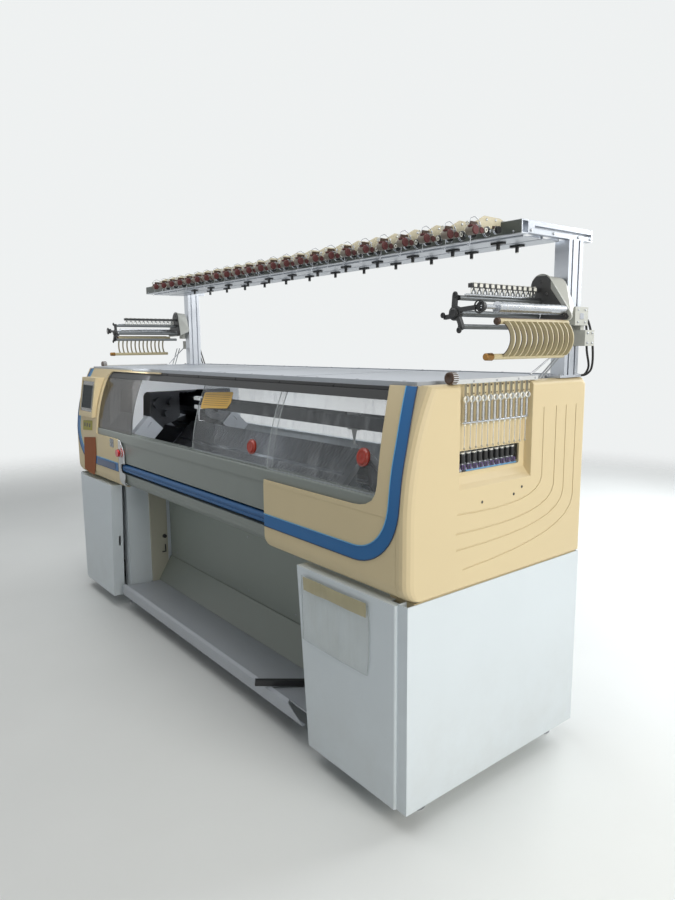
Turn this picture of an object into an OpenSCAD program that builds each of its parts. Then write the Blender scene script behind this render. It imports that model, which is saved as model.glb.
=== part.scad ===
// Computerised flat knitting machine, real size, millimetres.
// X runs along the needle beds, -Y is the operator's side, +Z is up.
// The origin is on the floor, under the middle of the machine.

/* [Body] */
// Length over the two end mouldings
body_len = 2650; // [2450:10:2900]
// Depth from the belly of the mouldings to the rear panels
body_dep = 820; // [780:10:900]
// Height where the lower cabinets end and the mouldings start
split_z = 672; // [650:1:690]
// Top of the mouldings
cover_z = 1254; // [1230:1:1270]
// Gap between the floor and the lower cabinets
foot_gap = 60; // [45:1:80]
// Width of one lower cabinet
cab_w = 500; // [460:5:520]
// Radius of the arc that leans the front back
lean_r = 810; // [780:5:900]
// Height where that arc starts
belly_z = 880; // [870:1:890]
// Radius under the front edge of the mouldings
chin_r = 55; // [40:1:60]
// Wall of the moulded covers
wall = 5; // [4:0.5:6]
// Sheet of the cabinets and the fabric well
sheet = 3; // [2:0.5:4]

/* [Front] */
// Length of the gray front panel between the mouldings
panel_x0 = -700; // [-720:5:-690]
// Right end of the gray front panel
panel_x1 = 634; // [620:1:650]
// Height of the window sill
sill_z = 930; // [925:1:935]
// Left end of the window
win_x0 = -1000; // [-1010:1:-980]
// Right end of the window
win_x1 = 1215; // [1205:1:1225]
// Length of one sliding window
pane_len = 600; // [560:5:610]
// Thickness of the windows
pane_t = 4; // [3:0.5:5]
// Width of the blue stripe
stripe_w = 40; // [30:1:44]
// Middle height of the blue stripe and of the start bar
stripe_z = 778; // [772:1:784]
// Depth of the recess in the end mouldings
recess_d = 25; // [20:1:28]

/* [Beds] */
// Length of the needle beds
bed_len = 1400; // [1300:10:1450]
// Length of a needle bed down its slope
bed_slope = 190; // [180:1:200]
// Height of the edge where the two beds meet
verge_z = 980; // [970:1:990]
// Distance between the needles that are drawn
trick_pitch = 20; // [16:1:25]
// Length of the carriage
car_len = 420; // [380:5:440]
// Radius of the carriage rails
rail_r = 15; // [12:1:17]
// Radius of the main take-down roller
roller_r = 26; // [20:1:30]

/* [Rack] */
// Top of the yarn rack
rack_z = 1712; // [1650:1:1760]
// Number of tension units on the rack
n_units = 24; // [12:1:24]
// Distance between the tension units
unit_pitch = 92.5; // [80:0.5:96]
// Width of the posts
post_w = 50; // [40:1:55]

/* [Side] */
// Number of yarns at each side
n_side = 12; // [8:1:12]
// Distance between the yarns at each side
side_pitch = 25; // [20:1:26]
// Distance from the top of the rack down to the feeder shaft
feed_drop = 267; // [255:1:280]

/* [Hidden] */

$fn = 48;
yf = -body_dep / 2;
yr = body_dep / 2;
xe = body_len / 2;
seam = 0.5;
gap = 0.3;

// ---- positions that follow from the sizes above ----
xs = xe - 41;
xi = xe - cab_w;
feed_z = rack_z - feed_drop;
estop_y = yf - 22;
arc_y = yf + lean_r;
function front_y(z, e = 0) = arc_y - sqrt(pow(lean_r - e, 2) - pow(z - belly_z, 2));
function bez(a, b, c, t) = (1 - t) * (1 - t) * a + 2 * t * (1 - t) * b + t * t * c;

// ---- helpers ----
module along_x(x0, x1) {
  translate([x0, 0, 0]) rotate([90, 0, 90]) linear_extrude(x1 - x0) children();
}
module along_y(y0, y1) {
  translate([0, y1, 0]) rotate([90, 0, 0]) linear_extrude(y1 - y0) children();
}
module box(x0, x1, y0, y1, z0, z1) {
  translate([x0, y0, z0]) cube([x1 - x0, y1 - y0, z1 - z0]);
}
module rod_x(x0, x1, y, z, r) {
  translate([x0, y, z]) rotate([0, 90, 0]) cylinder(r = r, h = x1 - x0);
}
module rod_y(y0, y1, x, z, r) {
  translate([x, y1, z]) rotate([90, 0, 0]) cylinder(r = r, h = y1 - y0);
}
module rod_z(z0, z1, x, y, r) {
  translate([x, y, z0]) cylinder(r = r, h = z1 - z0);
}
// rectangle with four round corners
module rr(x0, x1, y0, y1, r) {
  translate([x0 + r, y0]) square([x1 - x0 - 2 * r, y1 - y0]);
  translate([x0, y0 + r]) square([x1 - x0, y1 - y0 - 2 * r]);
  for (x = [x0 + r, x1 - r]) for (y = [y0 + r, y1 - r]) translate([x, y]) circle(r);
}
// the same with short straight steps at the corners
module rs(x0, x1, y0, y1, r, n = 3) {
  polygon([for (c = [[x1 - r, y1 - r, 0], [x0 + r, y1 - r, 90], [x0 + r, y0 + r, 180], [x1 - r, y0 + r, 270]],
    i = [0:n]) [c[0] + r * cos(c[2] + 90 * i / n), c[1] + r * sin(c[2] + 90 * i / n)]]);
}
module both() {
  children();
  mirror([1, 0, 0]) children();
}
// sheet metal: a strip of thickness t to the left of a bent line
function dir(a, b) = (b - a) / norm(b - a);
function left(d) = [-d[1], d[0]];
function miter(p, i) =
  i == 0 ? left(dir(p[0], p[1])) :
  i == len(p) - 1 ? left(dir(p[i - 1], p[i])) :
  let (a = left(dir(p[i - 1], p[i])), b = left(dir(p[i], p[i + 1])), s = a + b) s * 2 / (s * s);
module ribbon(p, t) {
  polygon(concat(p, [for (i = [len(p) - 1:-1:0]) p[i] + t * miter(p, i)]));
}

// ---- front outline of the mouldings in the Y-Z plane, inset by e ----
module fsec(e = 0, z0 = split_z, z1 = cover_z, y1 = yr) {
  intersection() {
    translate([arc_y, belly_z]) circle(lean_r - e, $fn = 200);
    translate([yf - 5, belly_z]) square([y1 - yf + 5, z1 - belly_z]);
  }
  if (z0 < belly_z) {
    translate([yf + e, max(z0, split_z + chin_r)])
      square([y1 - yf - e, belly_z - max(z0, split_z + chin_r)]);
    if (z0 < split_z + chin_r) {
      translate([yf + chin_r, z0]) square([y1 - yf - chin_r, split_z + chin_r - z0]);
      intersection() {
        translate([yf + chin_r, split_z + chin_r]) circle(chin_r - e);
        translate([yf - 5, z0]) square([chin_r + 5, split_z + chin_r - z0]);
      }
    }
  }
}
// skin that follows the front outline between the insets e0 and e1
module fskin(e0, e1, z0, z1) {
  difference() {
    fsec(e0, z0, z1, -200);
    fsec(e1, z0 - 1, z1 + 1, -199);
    translate([-230, split_z - 1]) square([60, cover_z - split_z + 2]);
    if (z0 < split_z + chin_r + 1)
      translate([yf + chin_r, split_z - 1]) square([200, 400]);
  }
}
module front_skin(x0, x1, e0, e1, z0, z1) {
  along_x(x0, x1) fskin(e0, e1, z0, z1);
}
// front skin cut to an outline in the X-Z plane
module front_patch(x0, x1, e0, e1, z0, z1) {
  intersection() {
    front_skin(x0, x1, e0, e1, z0, z1);
    along_y(yf - 30, -180) children();
  }
}

// ================= frame =================
ped_x0 = xi + 40;
ped_x1 = xe - 60;
ped_y0 = yf + 100;
ped_y1 = yr - 40;
ped_z0 = foot_gap + sheet + gap;
tube = 50;
beam_z0 = split_z - 90;
plate_t = 24;
plate_z = split_z + plate_t;
plate_y = 285;
wall_x = xe - 62;
foot_y = [ped_y0 + tube / 2, ped_y1 - tube / 2];
foot_x = [ped_x0 + tube / 2, ped_x1 - tube / 2];
foot_r = 32;
stem_r = 8;
low_y = -220;
beam_y0 = [70, ped_y1 - 80];
slot_x = bed_len / 2 + 20;
j = 0.1;

module base_frame() color([0.55, 0.57, 0.58]) {
  // two bolted pedestals: four posts each, tied by rails
  both() {
    for (x = [ped_x0, ped_x1 - tube]) for (y = [ped_y0, ped_y1 - tube]) difference() {
      box(x, x + tube, y, y + tube, ped_z0, beam_z0 - j);
      rod_z(ped_z0 - 1, ped_z0 + tube, x + tube / 2, y + tube / 2, stem_r + gap);
    }
    for (z = [ped_z0 + 10, beam_z0 - 60]) {
      for (y = [ped_y0, ped_y1 - tube]) box(ped_x0 + tube + j, ped_x1 - tube - j, y, y + tube, z, z + tube);
      for (x = [ped_x0, ped_x1 - tube]) box(x, x + tube, ped_y0 + tube + j, ped_y1 - tube - j, z, z + tube);
    }
    // cross bearers under the bed plate
    for (x = [ped_x0, ped_x1 - tube]) {
      box(x, x + tube, ped_y0, beam_y0[0] - j, beam_z0, split_z - j);
      box(x, x + tube, beam_y0[0] + 80 + j, beam_y0[1] - j, beam_z0, split_z - j);
    }
  }
  // long beams behind the fabric well
  for (y = beam_y0) box(-ped_x1, ped_x1, y, y + 80, beam_z0, split_z - j);
  // low tube under the fabric tray and the uprights behind the well
  box(-ped_x0 + j, ped_x0 - j, low_y, low_y + tube, ped_z0, ped_z0 + tube);
  for (x = [-430, 380]) {
    box(x, x + tube, low_y + tube + j, -100 - j, ped_z0, ped_z0 + tube);
    box(x, x + tube, -100, -60, ped_z0, 520);
    along_x(x, x + tube) polygon([[-100, 520 + j], [-60, 520 + j], [beam_y0[0] - j, 600], [beam_y0[0] - j, 655],
      [-100, 548]]);
  }
  // bed plate in four strips round the slot that the fabric drops through
  box(-wall_x, wall_x, -plate_y, -60, split_z, plate_z);
  box(-wall_x, wall_x, 50, plate_y, split_z, plate_z);
  both() box(slot_x, wall_x, -60 + j, 50 - j, split_z, plate_z);
}

module levelling_feet() color([0.25, 0.26, 0.27])
  both() for (x = foot_x) for (y = foot_y) {
    translate([x, y, 0]) rotate_extrude()
      polygon([[0, 0], [foot_r, 0], [foot_r, 7], [foot_r - 8, 12], [13, 16], [13, 22], [stem_r, 22],
        [stem_r, ped_z0 - 12], [14, ped_z0 - 12], [14, ped_z0 - 0.1], [stem_r, ped_z0 - 0.1],
        [stem_r, ped_z0 + 40], [0, ped_z0 + 40]]);
  }

// sloping bed supports: ribs that carry the two needle beds
bed_t = 22;
vy = 8;
k = sqrt(0.5);
// point at s down the slope and n above it, on the front side
function bp(s, n) = [-vy - k * s - k * n, verge_z - k * s + k * n];
rib_n = 7;
rib_pitch = (bed_len - 60) / (rib_n - 1);
rib_x0 = -bed_len / 2 + 20;
td_y = 24;
td_z = plate_z + 46;
press_r = 17;
press_y = td_y - roller_r - press_r - gap;
brg_x0 = slot_x + 2;
module bed_support() color([0.42, 0.44, 0.46]) {
  for (m = [0, 1]) mirror([0, m, 0]) {
    for (i = [0:rib_n - 1]) along_x(rib_x0 + i * rib_pitch, rib_x0 + i * rib_pitch + 20)
      polygon([bp(60, -bed_t - j), bp(bed_slope - 12, -bed_t - j), [-150, plate_z + 79], [-232, plate_z + 60],
        [-260, plate_z + 32],
        [-260, plate_z], [-62, plate_z], [-62, 800], [-38, 850]]);
    // bars that tie the ribs, under the beds
    for (i = [0:rib_n - 2]) along_x(rib_x0 + 20 + i * rib_pitch, rib_x0 + (i + 1) * rib_pitch)
      polygon([bp(70, -bed_t - j), bp(130, -bed_t - j), bp(130, -bed_t - 14), bp(70, -bed_t - 14)]);
  }
  // bearing blocks of the take-down rollers, on the bed plate
  both() difference() {
    along_x(brg_x0, brg_x0 + 20) rr(press_y - 22, td_y + 30, plate_z, td_z + 26, 8);
    rod_x(brg_x0 - 1, brg_x0 + 21, td_y, td_z, 8.05);
    rod_x(brg_x0 - 1, brg_x0 + 21, press_y, td_z, 6.05);
  }
}

// end walls: carry the rails, the carrier rails and the table
ew_t = 14;
rail_s = 262;
rail_n = 8;
rail_y = -bp(rail_s, rail_n)[0];
rail_z = bp(rail_s, rail_n)[1];
crail_z = verge_z + 82;
crail_h = 48;
crail_t = 6;
crail_y = [-36, -12, 12, 36];
track_z = cover_z - 18;
table_t = 26;
table_z = track_z + table_t;
module end_walls() color([0.78, 0.79, 0.78])
  both() difference() {
    along_x(wall_x - ew_t, wall_x) difference() {
      polygon([[-plate_y, plate_z], [-300, 900], [-285, 1100], [-250, track_z], [330, track_z],
        [340, 1100], [plate_y, 900], [plate_y, plate_z]]);
      translate([0, 790]) circle(58);
      rr(-200, -80, 1130, 1200, 20);
      rr(80, 230, 1130, 1200, 20);
    }
    for (y = [-rail_y, rail_y]) rod_x(wall_x - ew_t - 1, wall_x + 1, y, rail_z, rail_r);
    for (y = crail_y) box(wall_x - ew_t - 1, wall_x + 1, y - crail_t / 2, y + crail_t / 2, crail_z, crail_z + crail_h);
  }

// ================= cabinets =================
cab_top = split_z - 2;
door_x1 = xs - gap;
inner_y = -330;
module cab_plan() {
  ribbon([[xi + sheet, inner_y], [xi + sheet, yr - 6 - sheet], [xe - sheet, yr - 6 - sheet],
    [xe - sheet, yf + 6 + sheet], [xs, yf + 6 + sheet], [xs, yf + 40]], -sheet);
}
module cabinet() {
  translate([0, 0, foot_gap]) linear_extrude(cab_top - foot_gap) cab_plan();
  box(xi + sheet, xe - sheet, inner_y + 4, yr - 6 - sheet, foot_gap, foot_gap + sheet);
}
module cabinets() color([0.86, 0.88, 0.9]) both() difference() {
  cabinet();
  for (x = foot_x) for (y = foot_y) rod_z(foot_gap - 1, foot_gap + 5, x, y, 20);
  box(xi - 1, xi + 2 * sheet + 1, low_y - 2, low_y + tube + 2, foot_gap - 1, ped_z0 + tube + 1);
  for (y = beam_y0) box(xi - 1, xi + 2 * sheet + 1, y - 2, y + 82, beam_z0 - 2, cab_top + 1);
}

// doors: folded pans whose free edge slants
door_z0 = foot_gap + 2;
door_z1 = split_z - 6;
door_d = 56;
door_in0 = xi + 49;
door_in1 = xi - 1;
hinge_r = 6;
module door() {
  // round hinge edge: the door turns about its axis
  rod_z(door_z0, door_z1, door_x1 - hinge_r, yf + hinge_r, hinge_r);
  difference() {
    along_y(yf, yf + door_d)
      polygon([[door_in0, door_z0], [door_x1, door_z0], [door_x1, door_z1], [door_in1, door_z1]]);
    box(door_x1 - hinge_r, door_x1 + 1, yf - 1, yf + hinge_r, door_z0 - 1, door_z1 + 1);
    along_y(yf + sheet, yf + door_d + 1)
      polygon([[door_in0 + sheet, door_z0 + sheet], [door_x1 - sheet, door_z0 + sheet],
        [door_x1 - sheet, door_z1 - sheet], [door_in1 + sheet, door_z1 - sheet]]);
    // the hinge side has a short return only
    box(door_x1 - 40, door_x1 + 1, yf + 22, yf + door_d + 1, door_z0 - 1, door_z1 + 1);
    // finger slot in the free edge
    translate([door_in1 - 20, yf + 38, (door_z0 + door_z1) / 2]) rotate([0, 90, 0])
      linear_extrude(60) rr(-26, 26, -5, 5, 4.9);
  }
}
module right_door() color([0.87, 0.89, 0.91]) door();
module left_door() color([0.87, 0.89, 0.91]) mirror([1, 0, 0]) door();

// beige hatches on the inner walls, with a knob and a hook
hatch_y0 = -214;
hatch_y1 = -122;
module cabinet_hatches() color([0.87, 0.82, 0.68])
  both() box(xi - 9, xi + sheet - gap, hatch_y0, hatch_y1, foot_gap + 55, split_z - 20);
module well_fittings() color([0.06, 0.07, 0.1]) {
  both() {
    translate([xi - 9.3, -140, 354]) rotate([0, -90, 0]) cylinder(r1 = 11, r2 = 9, h = 12);
    translate([xi - 9.3, -140, 268]) rotate([0, -90, 0]) linear_extrude(4) {
      square([40, 5]);
      translate([-2, -16]) square([5, 21]);
    }
  }
  // box bar that lies across the tray lip
  translate([558, -420, lip_z + 7 + gap]) rotate([0, 6, 62]) cube([215, 16, 22]);
}

hood_y = -estop_y;
module rear_panels() color([0.84, 0.86, 0.88]) {
  // lower panel between the cabinets and the upper one under the rear window
  box(-xi + 2, xi - 2, yr - 12, yr - 12 + sheet, foot_gap + 40, split_z - 4);
  along_x(-xs + 2, xs - 2)
    ribbon([[yr - 40, split_z + 2], [yr - sheet, split_z + 2], [yr - sheet, sill_z], [yr - 30, sill_z]], sheet);
  // vent hoods on the upper panel, open underneath
  for (x = [-650, 0, 650]) along_x(x - 160, x + 160) difference() {
    polygon([[yr - sheet, 740], [hood_y, 740], [hood_y, 800], [yr - sheet, 850]]);
    polygon([[yr - sheet + 4, 739], [hood_y - 3, 739], [hood_y - 3, 796], [yr - sheet + 4, 838]]);
  }
  for (x = [-xi + 60, xi - 60]) box(x - 15, x + 15, ped_y1 + gap, yr - 12, beam_z0 + 10, beam_z0 + 40);
  for (x = [-wall_x, wall_x - 14]) box(x, x + 14, plate_y + gap, yr - sheet - gap, 720, 780);
}

// ================= moulded covers =================
// end cover: a loft of front outlines that step back towards the rounded outer edge
edge_r = 28;
function end_sec(e, i) = let (zt = cover_z - i - e / 2, zc = split_z + chin_r) concat(
  [for (a = [90:-15:0]) [yf + chin_r - (chin_r - e - i) * cos(a), zc - (chin_r - e / 4 - i) * sin(a)]],
  [for (t = [0:12]) let (z = belly_z + (zt - belly_z) * t / 12) [front_y(z, e + i), z]],
  [[yr - 20 - e / 2 - i, zt], [yr - 4 - e * 0.6 - i, zt - 14], [yr - 4 - e * 0.6 - i, split_z + i + e / 4]]);
module loft(x, r) {
  n = len(r[0]);
  m = len(r);
  polyhedron([for (k = [0:m - 1], q = r[k]) [x[k], q[0], q[1]]],
    concat([[for (i = [n - 1:-1:0]) i]], [[for (i = [0:n - 1]) (m - 1) * n + i]],
      [for (k = [0:m - 2], i = [0:n - 1], h = [0, 1]) h == 0 ?
        [k * n + i, k * n + (i + 1) % n, (k + 1) * n + (i + 1) % n] :
        [k * n + i, (k + 1) * n + (i + 1) % n, (k + 1) * n + i]]));
}
module end_shell(i) {
  a = [0, 22.5, 45, 67.5, 90];
  loft(concat([xs - (i > 0 ? 1 : 0)], [for (t = a) xe - edge_r * (1 - sin(t)) - i]),
    concat([end_sec(0, i)], [for (t = a) end_sec(edge_r * (1 - cos(t)), i)]));
}
groove_v = [[170, 918], [235, 884], [288, 858], [343, 832]];
groove_h = [[-215, 896], [-220, 841], [-218, 794], [-189, 733]];
function groove(i) = concat([[groove_v[i][0], 1170]],
  [for (t = [0:0.125:1]) bez([groove_v[i][0], groove_v[i][1] + 40], [groove_v[i][0] - 10, groove_v[i][1] - 45 - 12 * i],
    groove_h[i], t)]);
rec_y0 = -210;
rec_y1 = 115;
rec_z = 962;
slot_z0 = 1005;
slot_z1 = 1066;
module end_cover() {
  difference() {
    union() {
      difference() {
        end_shell(0);
        difference() {
          end_shell(wall);
          box(xe - recess_d - wall, xe, rec_y0 - wall, rec_y1 + wall, rec_z - wall, cover_z);
        }
      }
    }
    // recess with a scooped lower end
    hull() {
      box(xe - recess_d, xe - recess_d + 1, rec_y0 + 4, rec_y1 - 4, rec_z + 30, cover_z + 1);
      box(xe, xe + 1, rec_y0, rec_y1, rec_z, cover_z + 1);
      box(xe - recess_d / 2, xe, rec_y0 + 2, rec_y1 - 2, rec_z + 12, cover_z + 1);
    }
    along_x(xe - 60, xe + 1) rr(rec_y0 + 12, rec_y1 - 30, slot_z0, slot_z1, 3);
    for (i = [0:3]) along_x(xe - 2, xe + 1) ribbon(groove(i), 4);
  }
}
module end_covers() color([0.88, 0.82, 0.66]) both() end_cover();

// outline of the window in the X-Z plane
module win_outline(d = 0) {
  polygon([[win_x0 + d, sill_z - 12 - 30], [win_x1 - d, sill_z - 12 - 30], [win_x1 + 34 - d, cover_z + 30],
    [win_x0 + d, cover_z + 30]]);
}
win_c = 70;
// opening of the left cover: square at the sill, a wide corner at the top
module left_opening(d = 0) {
  intersection() {
    rs(win_x0 + d, win_x1 + 200, sill_z - 300, cover_z - 6 - d, win_c - d, 6);
    translate([win_x0 - 10, sill_z - 12 + gap]) square([900, 400]);
  }
}
module front_covers() color([0.89, 0.84, 0.68]) {
  right_cover();
  left_cover();
}
module right_cover() {
  difference() {
    front_skin(panel_x1 + seam, xs - seam, 0, wall, split_z, cover_z - 2);
    along_y(yf - 30, -180) union() {
      intersection() {
        win_outline();
        rr(win_x0, win_x1 + 200, sill_z - 25, cover_z + 300, 30);
      }
    }
  }
  // inner rib that bolts to the end wall
  along_x(wall_x + gap, wall_x + 8) difference() {
    fsec(wall - 0.5, split_z + 20, cover_z - 25, -plate_y + 20);
    translate([-plate_y - 60, 600]) square([400, 110]);
  }
}
module left_cover() {
  difference() {
    front_skin(-xs + seam, panel_x0 - seam, 0, wall, split_z, cover_z - 2);
    along_y(yf - 30, -180) {
      left_opening(-gap);
      // display and socket openings
      rr(disp_x0 + 14, disp_x1 - 14, disp_z0 + 34, disp_z1 - 24, 6);
      rr(-808, -752, 870, 914, 3);
    }
  }
  along_x(-wall_x - 8, -wall_x - gap) difference() {
    fsec(wall - 0.5, split_z + 20, cover_z - 25, -plate_y + 20);
    translate([-plate_y - 60, 600]) square([400, 110]);
  }
}

// gray panel with the channel of the start bar and the curved lip
pan_e = 14;
bar_r = 19;
bar_y = yf + 20;
pan_top = sill_z - 24 - gap - sheet;
pan_back = yf + pan_e + 36 - sheet;
module front_panel() color([0.66, 0.68, 0.66])
  difference() {
  along_x(panel_x0 + 2, panel_x1 - seam) ribbon([
    [yf + pan_e + 24, pan_top], [yf + pan_e, pan_top], [yf + pan_e, stripe_z + 30],
    [yf + pan_e + 36, stripe_z + 26], [yf + pan_e + 36, stripe_z - 26], [yf + pan_e, stripe_z - 30],
    for (a = [0:15:75]) [yf + pan_e + 70 - 70 * cos(a), stripe_z - 32 - 70 * sin(a)],
    [-plate_y - gap, split_z + 8]], -sheet);
    rod_y(yf, yf + 40, estop_x, estop_z, 17);
  }
module panel_end_trim() color([0.8, 0.81, 0.8]) difference() {
  front_patch(panel_x0 + seam, panel_x0 + 70, 1, wall, split_z + 12, sill_z - 15) polygon(concat(
    [[panel_x0 - 5, sill_z - 14], [panel_x0 + 12, sill_z - 14]],
    [for (t = [0:0.1:1]) [panel_x0 + bez(12, 70, 72, t), bez(sill_z - 14, sill_z - 40, stripe_z + 40, t)]],
    [for (t = [0:0.1:1]) [panel_x0 + bez(72, 70, 30, t), bez(stripe_z - 34, split_z + 50, split_z + 10, t)]],
    [[panel_x0 - 5, split_z + 10]]));
  rod_y(yf - 5, yf + 30, estop_x, estop_z, 17);
  along_y(yf - 5, yf + 30) rr(panel_x0 + 22, panel_x0 + 300, stripe_z - bar_r - 5, stripe_z + bar_r + 5, bar_r + 4);
}
estop_x = panel_x0 + 40;
estop_z = 856;

// two-lobed start bar with round ends, on pins
bar_x0 = panel_x0 + 30;
bar_x1 = panel_x1 - 9;
module start_bar() color([0.13, 0.42, 0.62]) {
  difference() {
    union() {
      intersection() {
        along_x(bar_x0, bar_x1) intersection() {
          translate([bar_y + 8, stripe_z]) circle(22);
          translate([bar_y - 12, stripe_z - bar_r]) square([26, 2 * bar_r]);
        }
        along_y(bar_y - 40, bar_y + 40)
          rs(bar_x0, bar_x1 + 100, stripe_z - bar_r - 0.5, stripe_z + bar_r + 0.5, bar_r, 4);
      }
    }
    box(bar_x0 + 20, bar_x1 + 1, bar_y - 20, bar_y - 10, stripe_z - 2, stripe_z + 2);
    rod_x(bar_x0 - 1, bar_x0 + 30, bar_y + 4, stripe_z, 5.05);
    rod_x(bar_x1 - 30, bar_x1 + 1, bar_y + 4, stripe_z, 5.05);
  }
}
module start_bar_brackets() color([0.3, 0.31, 0.33]) {
  for (s = [0, 1]) {
    x0 = s == 0 ? bar_x0 - 6.5 : bar_x1 + 0.5;
    box(x0, x0 + 6, bar_y - 6, pan_back - gap, stripe_z - 12, stripe_z + 12);
    rod_x(s == 0 ? x0 : x0 - 22, s == 0 ? x0 + 30 : x0 + 6, bar_y + 4, stripe_z, 5);
  }
}

module estop_ring() color([0.75, 0.1, 0.12])
  difference() {
    union() {
      rod_y(yf - 6, yf + 0.7, estop_x, estop_z, 22);
      rod_y(yf + 0.7, yf + 26, estop_x, estop_z, 16);
    }
    rod_y(yf - 7, yf + 28, estop_x, estop_z, 9.05);
  }
module estop_button() color([0.85, 0.12, 0.14]) {
  rod_y(yf - 13, yf + 30, estop_x, estop_z, 9);
  rod_y(estop_y, yf - 12.9, estop_x, estop_z, 18);
}

// blue stripes and pale window edging
module stripe_shape() {
  r = 90;
  difference() {
    union() {
      translate([panel_x1 + 4, stripe_z - stripe_w / 2]) square([xs - 12 - r - panel_x1 - 4, stripe_w]);
      translate([xs - 12 - stripe_w, stripe_z + r]) square([stripe_w, 600]);
      intersection() {
        translate([xs - 12 - r, stripe_z - stripe_w / 2 + r]) circle(r, $fn = 96);
        translate([xs - 12 - r, stripe_z - stripe_w / 2]) square([r, r + 25]);
      }
    }
    translate([xs - 12 - r, stripe_z - stripe_w / 2 + r]) circle(r - stripe_w, $fn = 96);
  }
}
module blue_trims() color([0.16, 0.47, 0.66]) {
  front_patch(panel_x1 + 2, xs - 2, -1.2, -0.3, stripe_z - 60, cover_z - 2) stripe_shape();
  front_patch(-xs + 2, panel_x0 - 2, -1.2, -0.3, stripe_z - 60, cover_z - 2) difference() {
    mirror([1, 0, 0]) translate([0, 0]) stripe_shape();
    translate([panel_x0 - 4, 600]) square([200, 400]);
  }
}
module trim_ring() difference() {
  left_opening(0);
  left_opening(6);
}
// pale return of the window opening
module window_trim() color([0.93, 0.88, 0.74]) {
  front_patch(win_x0 - 5, win_x0 + 640, -1.5, 28, sill_z - 12, track_z - 32) trim_ring();
  front_patch(win_x0 - 5, win_x0 + 640, -1.5, 8, track_z - 32.01, cover_z - 2) trim_ring();
}

// display in the left cover: a box whose face leans less than the cover
disp_x0 = -1228;
disp_x1 = -1020;
disp_z0 = 1000;
disp_z1 = 1208;
disp_y0 = -421;
disp_y1 = -388;
module disp_plane(d, z0, z1) {
  // face of the display, d behind its front
  polygon([[disp_y0 + d, disp_z0], [disp_y1 + d, disp_z1], [-200, disp_z1 + z1], [-200, disp_z0 - z0]]);
}
module display_bezel() color([0.86, 0.8, 0.64]) {
  difference() {
    along_x(disp_x0, disp_x1) difference() {
      disp_plane(0, 0, 0);
      fsec(-gap, disp_z0 - 20, disp_z1 + 20, 0);
    }
    along_x(disp_x0 + 13, disp_x1 - 14) intersection() {
      difference() {
        translate([-500, 0]) square([400, 2000]);
        translate([0, 0]) disp_plane(9.3, 20, 20);
      }
      translate([-500, disp_z0 + 28]) square([400, disp_z1 - disp_z0 - 48]);
    }
    along_x(disp_x0 + 24, disp_x1 - 24) translate([-500, disp_z0 + 44]) square([400, disp_z1 - disp_z0 - 78]);
  }
}
module control_panels() color([0.1, 0.11, 0.12]) {
  along_x(disp_x0 + 13 + gap, disp_x1 - 14 - gap) intersection() {
    difference() {
      disp_plane(3, 20, 20);
      disp_plane(9, 20, 20);
    }
    translate([-500, disp_z0 + 28 + gap]) square([400, disp_z1 - disp_z0 - 48 - 2 * gap]);
  }
  front_patch(-810, -750, 1, 6, 868, 916) rr(-807.5, -752.5, 870.5, 913.5, 2.6);
}

// ================= windows =================
e_front = 18;
e_rear = 38;
e_fix = 8;
win_in = 7;
sill_t = 20;
pane_z0 = sill_z + 13;
pane_z1 = track_z - 9;
module window_sill() color([0.6, 0.61, 0.6]) difference() {
  along_x(win_x0 + win_in, win_x1 - 2) difference() {
    polygon([[front_y(sill_z, 6), sill_z - 24], [front_y(sill_z, 6), sill_z + 16],
      [front_y(sill_z, 6) + 2, sill_z + 20], [front_y(sill_z, e_rear + 12), sill_z + 20],
      [front_y(sill_z, e_rear + 12), sill_z - 12], [front_y(sill_z, e_rear + 36), sill_z - 12],
      [front_y(sill_z, e_rear + 36), sill_z - 24]]);
    for (e = [e_front, e_rear])
      translate([front_y(pane_z0, e) - 1.5, pane_z0 - gap]) square([pane_t + 4, 30]);
  }
}
module window_track() color([0.16, 0.17, 0.17])
  along_x(win_x0 + 44, win_x1 + 20) difference() {
    polygon([[front_y(track_z - 26, 6), track_z - 26], [front_y(track_z, 6), track_z - gap],
      [-250 - gap, track_z - gap], [-250 - gap, track_z - 8], [front_y(track_z - 26, e_rear + 16), track_z - 26]]);
    for (e = [e_front, e_rear]) fskin(e - 1.5, e + pane_t + 1.5, track_z - 40, pane_z1 + gap);
  }
module pane(x0, x1, e, c) {
  front_patch(x0, x1, e, e + pane_t, pane_z0 - 1, pane_z1 + 1) rs(x0, x1, pane_z0, pane_z1, c);
}
rw_x1 = win_x1 + 8;
rw_x0 = rw_x1 - pane_len;
lw_x1 = rw_x0 + 4;
lw_x0 = lw_x1 - pane_len;
knob_z0 = 1048;
module smoked_window() color([0.3, 0.3, 0.28, 0.5])
  front_patch(win_x0, win_x0 + 460, e_fix, e_fix + pane_t, sill_z + 10, track_z - 20)
    intersection() {
      rs(win_x0 + win_in, win_x0 + 450, sill_z + 20 + gap, track_z - 26 - gap, 8, 2);
      left_opening(6 + gap);
    }
module left_window() color([0.85, 0.9, 0.92, 0.35]) pane(lw_x0, lw_x1, e_rear, 16);
module right_window() color([0.85, 0.9, 0.92, 0.35]) pane(rw_x0, rw_x1, e_front, 16);
module wknob(x, z, e) {
  a = asin((z - belly_z) / lean_r);
  translate([x, front_y(z, e), z]) rotate([90 - a, 0, 0]) {
    translate([0, 0, gap]) cylinder(r = 27, h = 5);
    translate([0, 0, gap + 4]) cylinder(r1 = 24, r2 = 20, h = 6);
  }
}
module window_knobs_left() color([0.88, 0.25, 0.12]) wknob(lw_x1 - 136, 1008, e_rear);
module window_knobs_right() color([0.88, 0.25, 0.12]) wknob(rw_x1 - 108, knob_z0, e_front);
module rear_window() color([0.85, 0.9, 0.92, 0.35])
  box(-xs + 60, xs - 60, yr - 20, yr - 20 + pane_t, sill_z + gap, track_z - gap);

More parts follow.
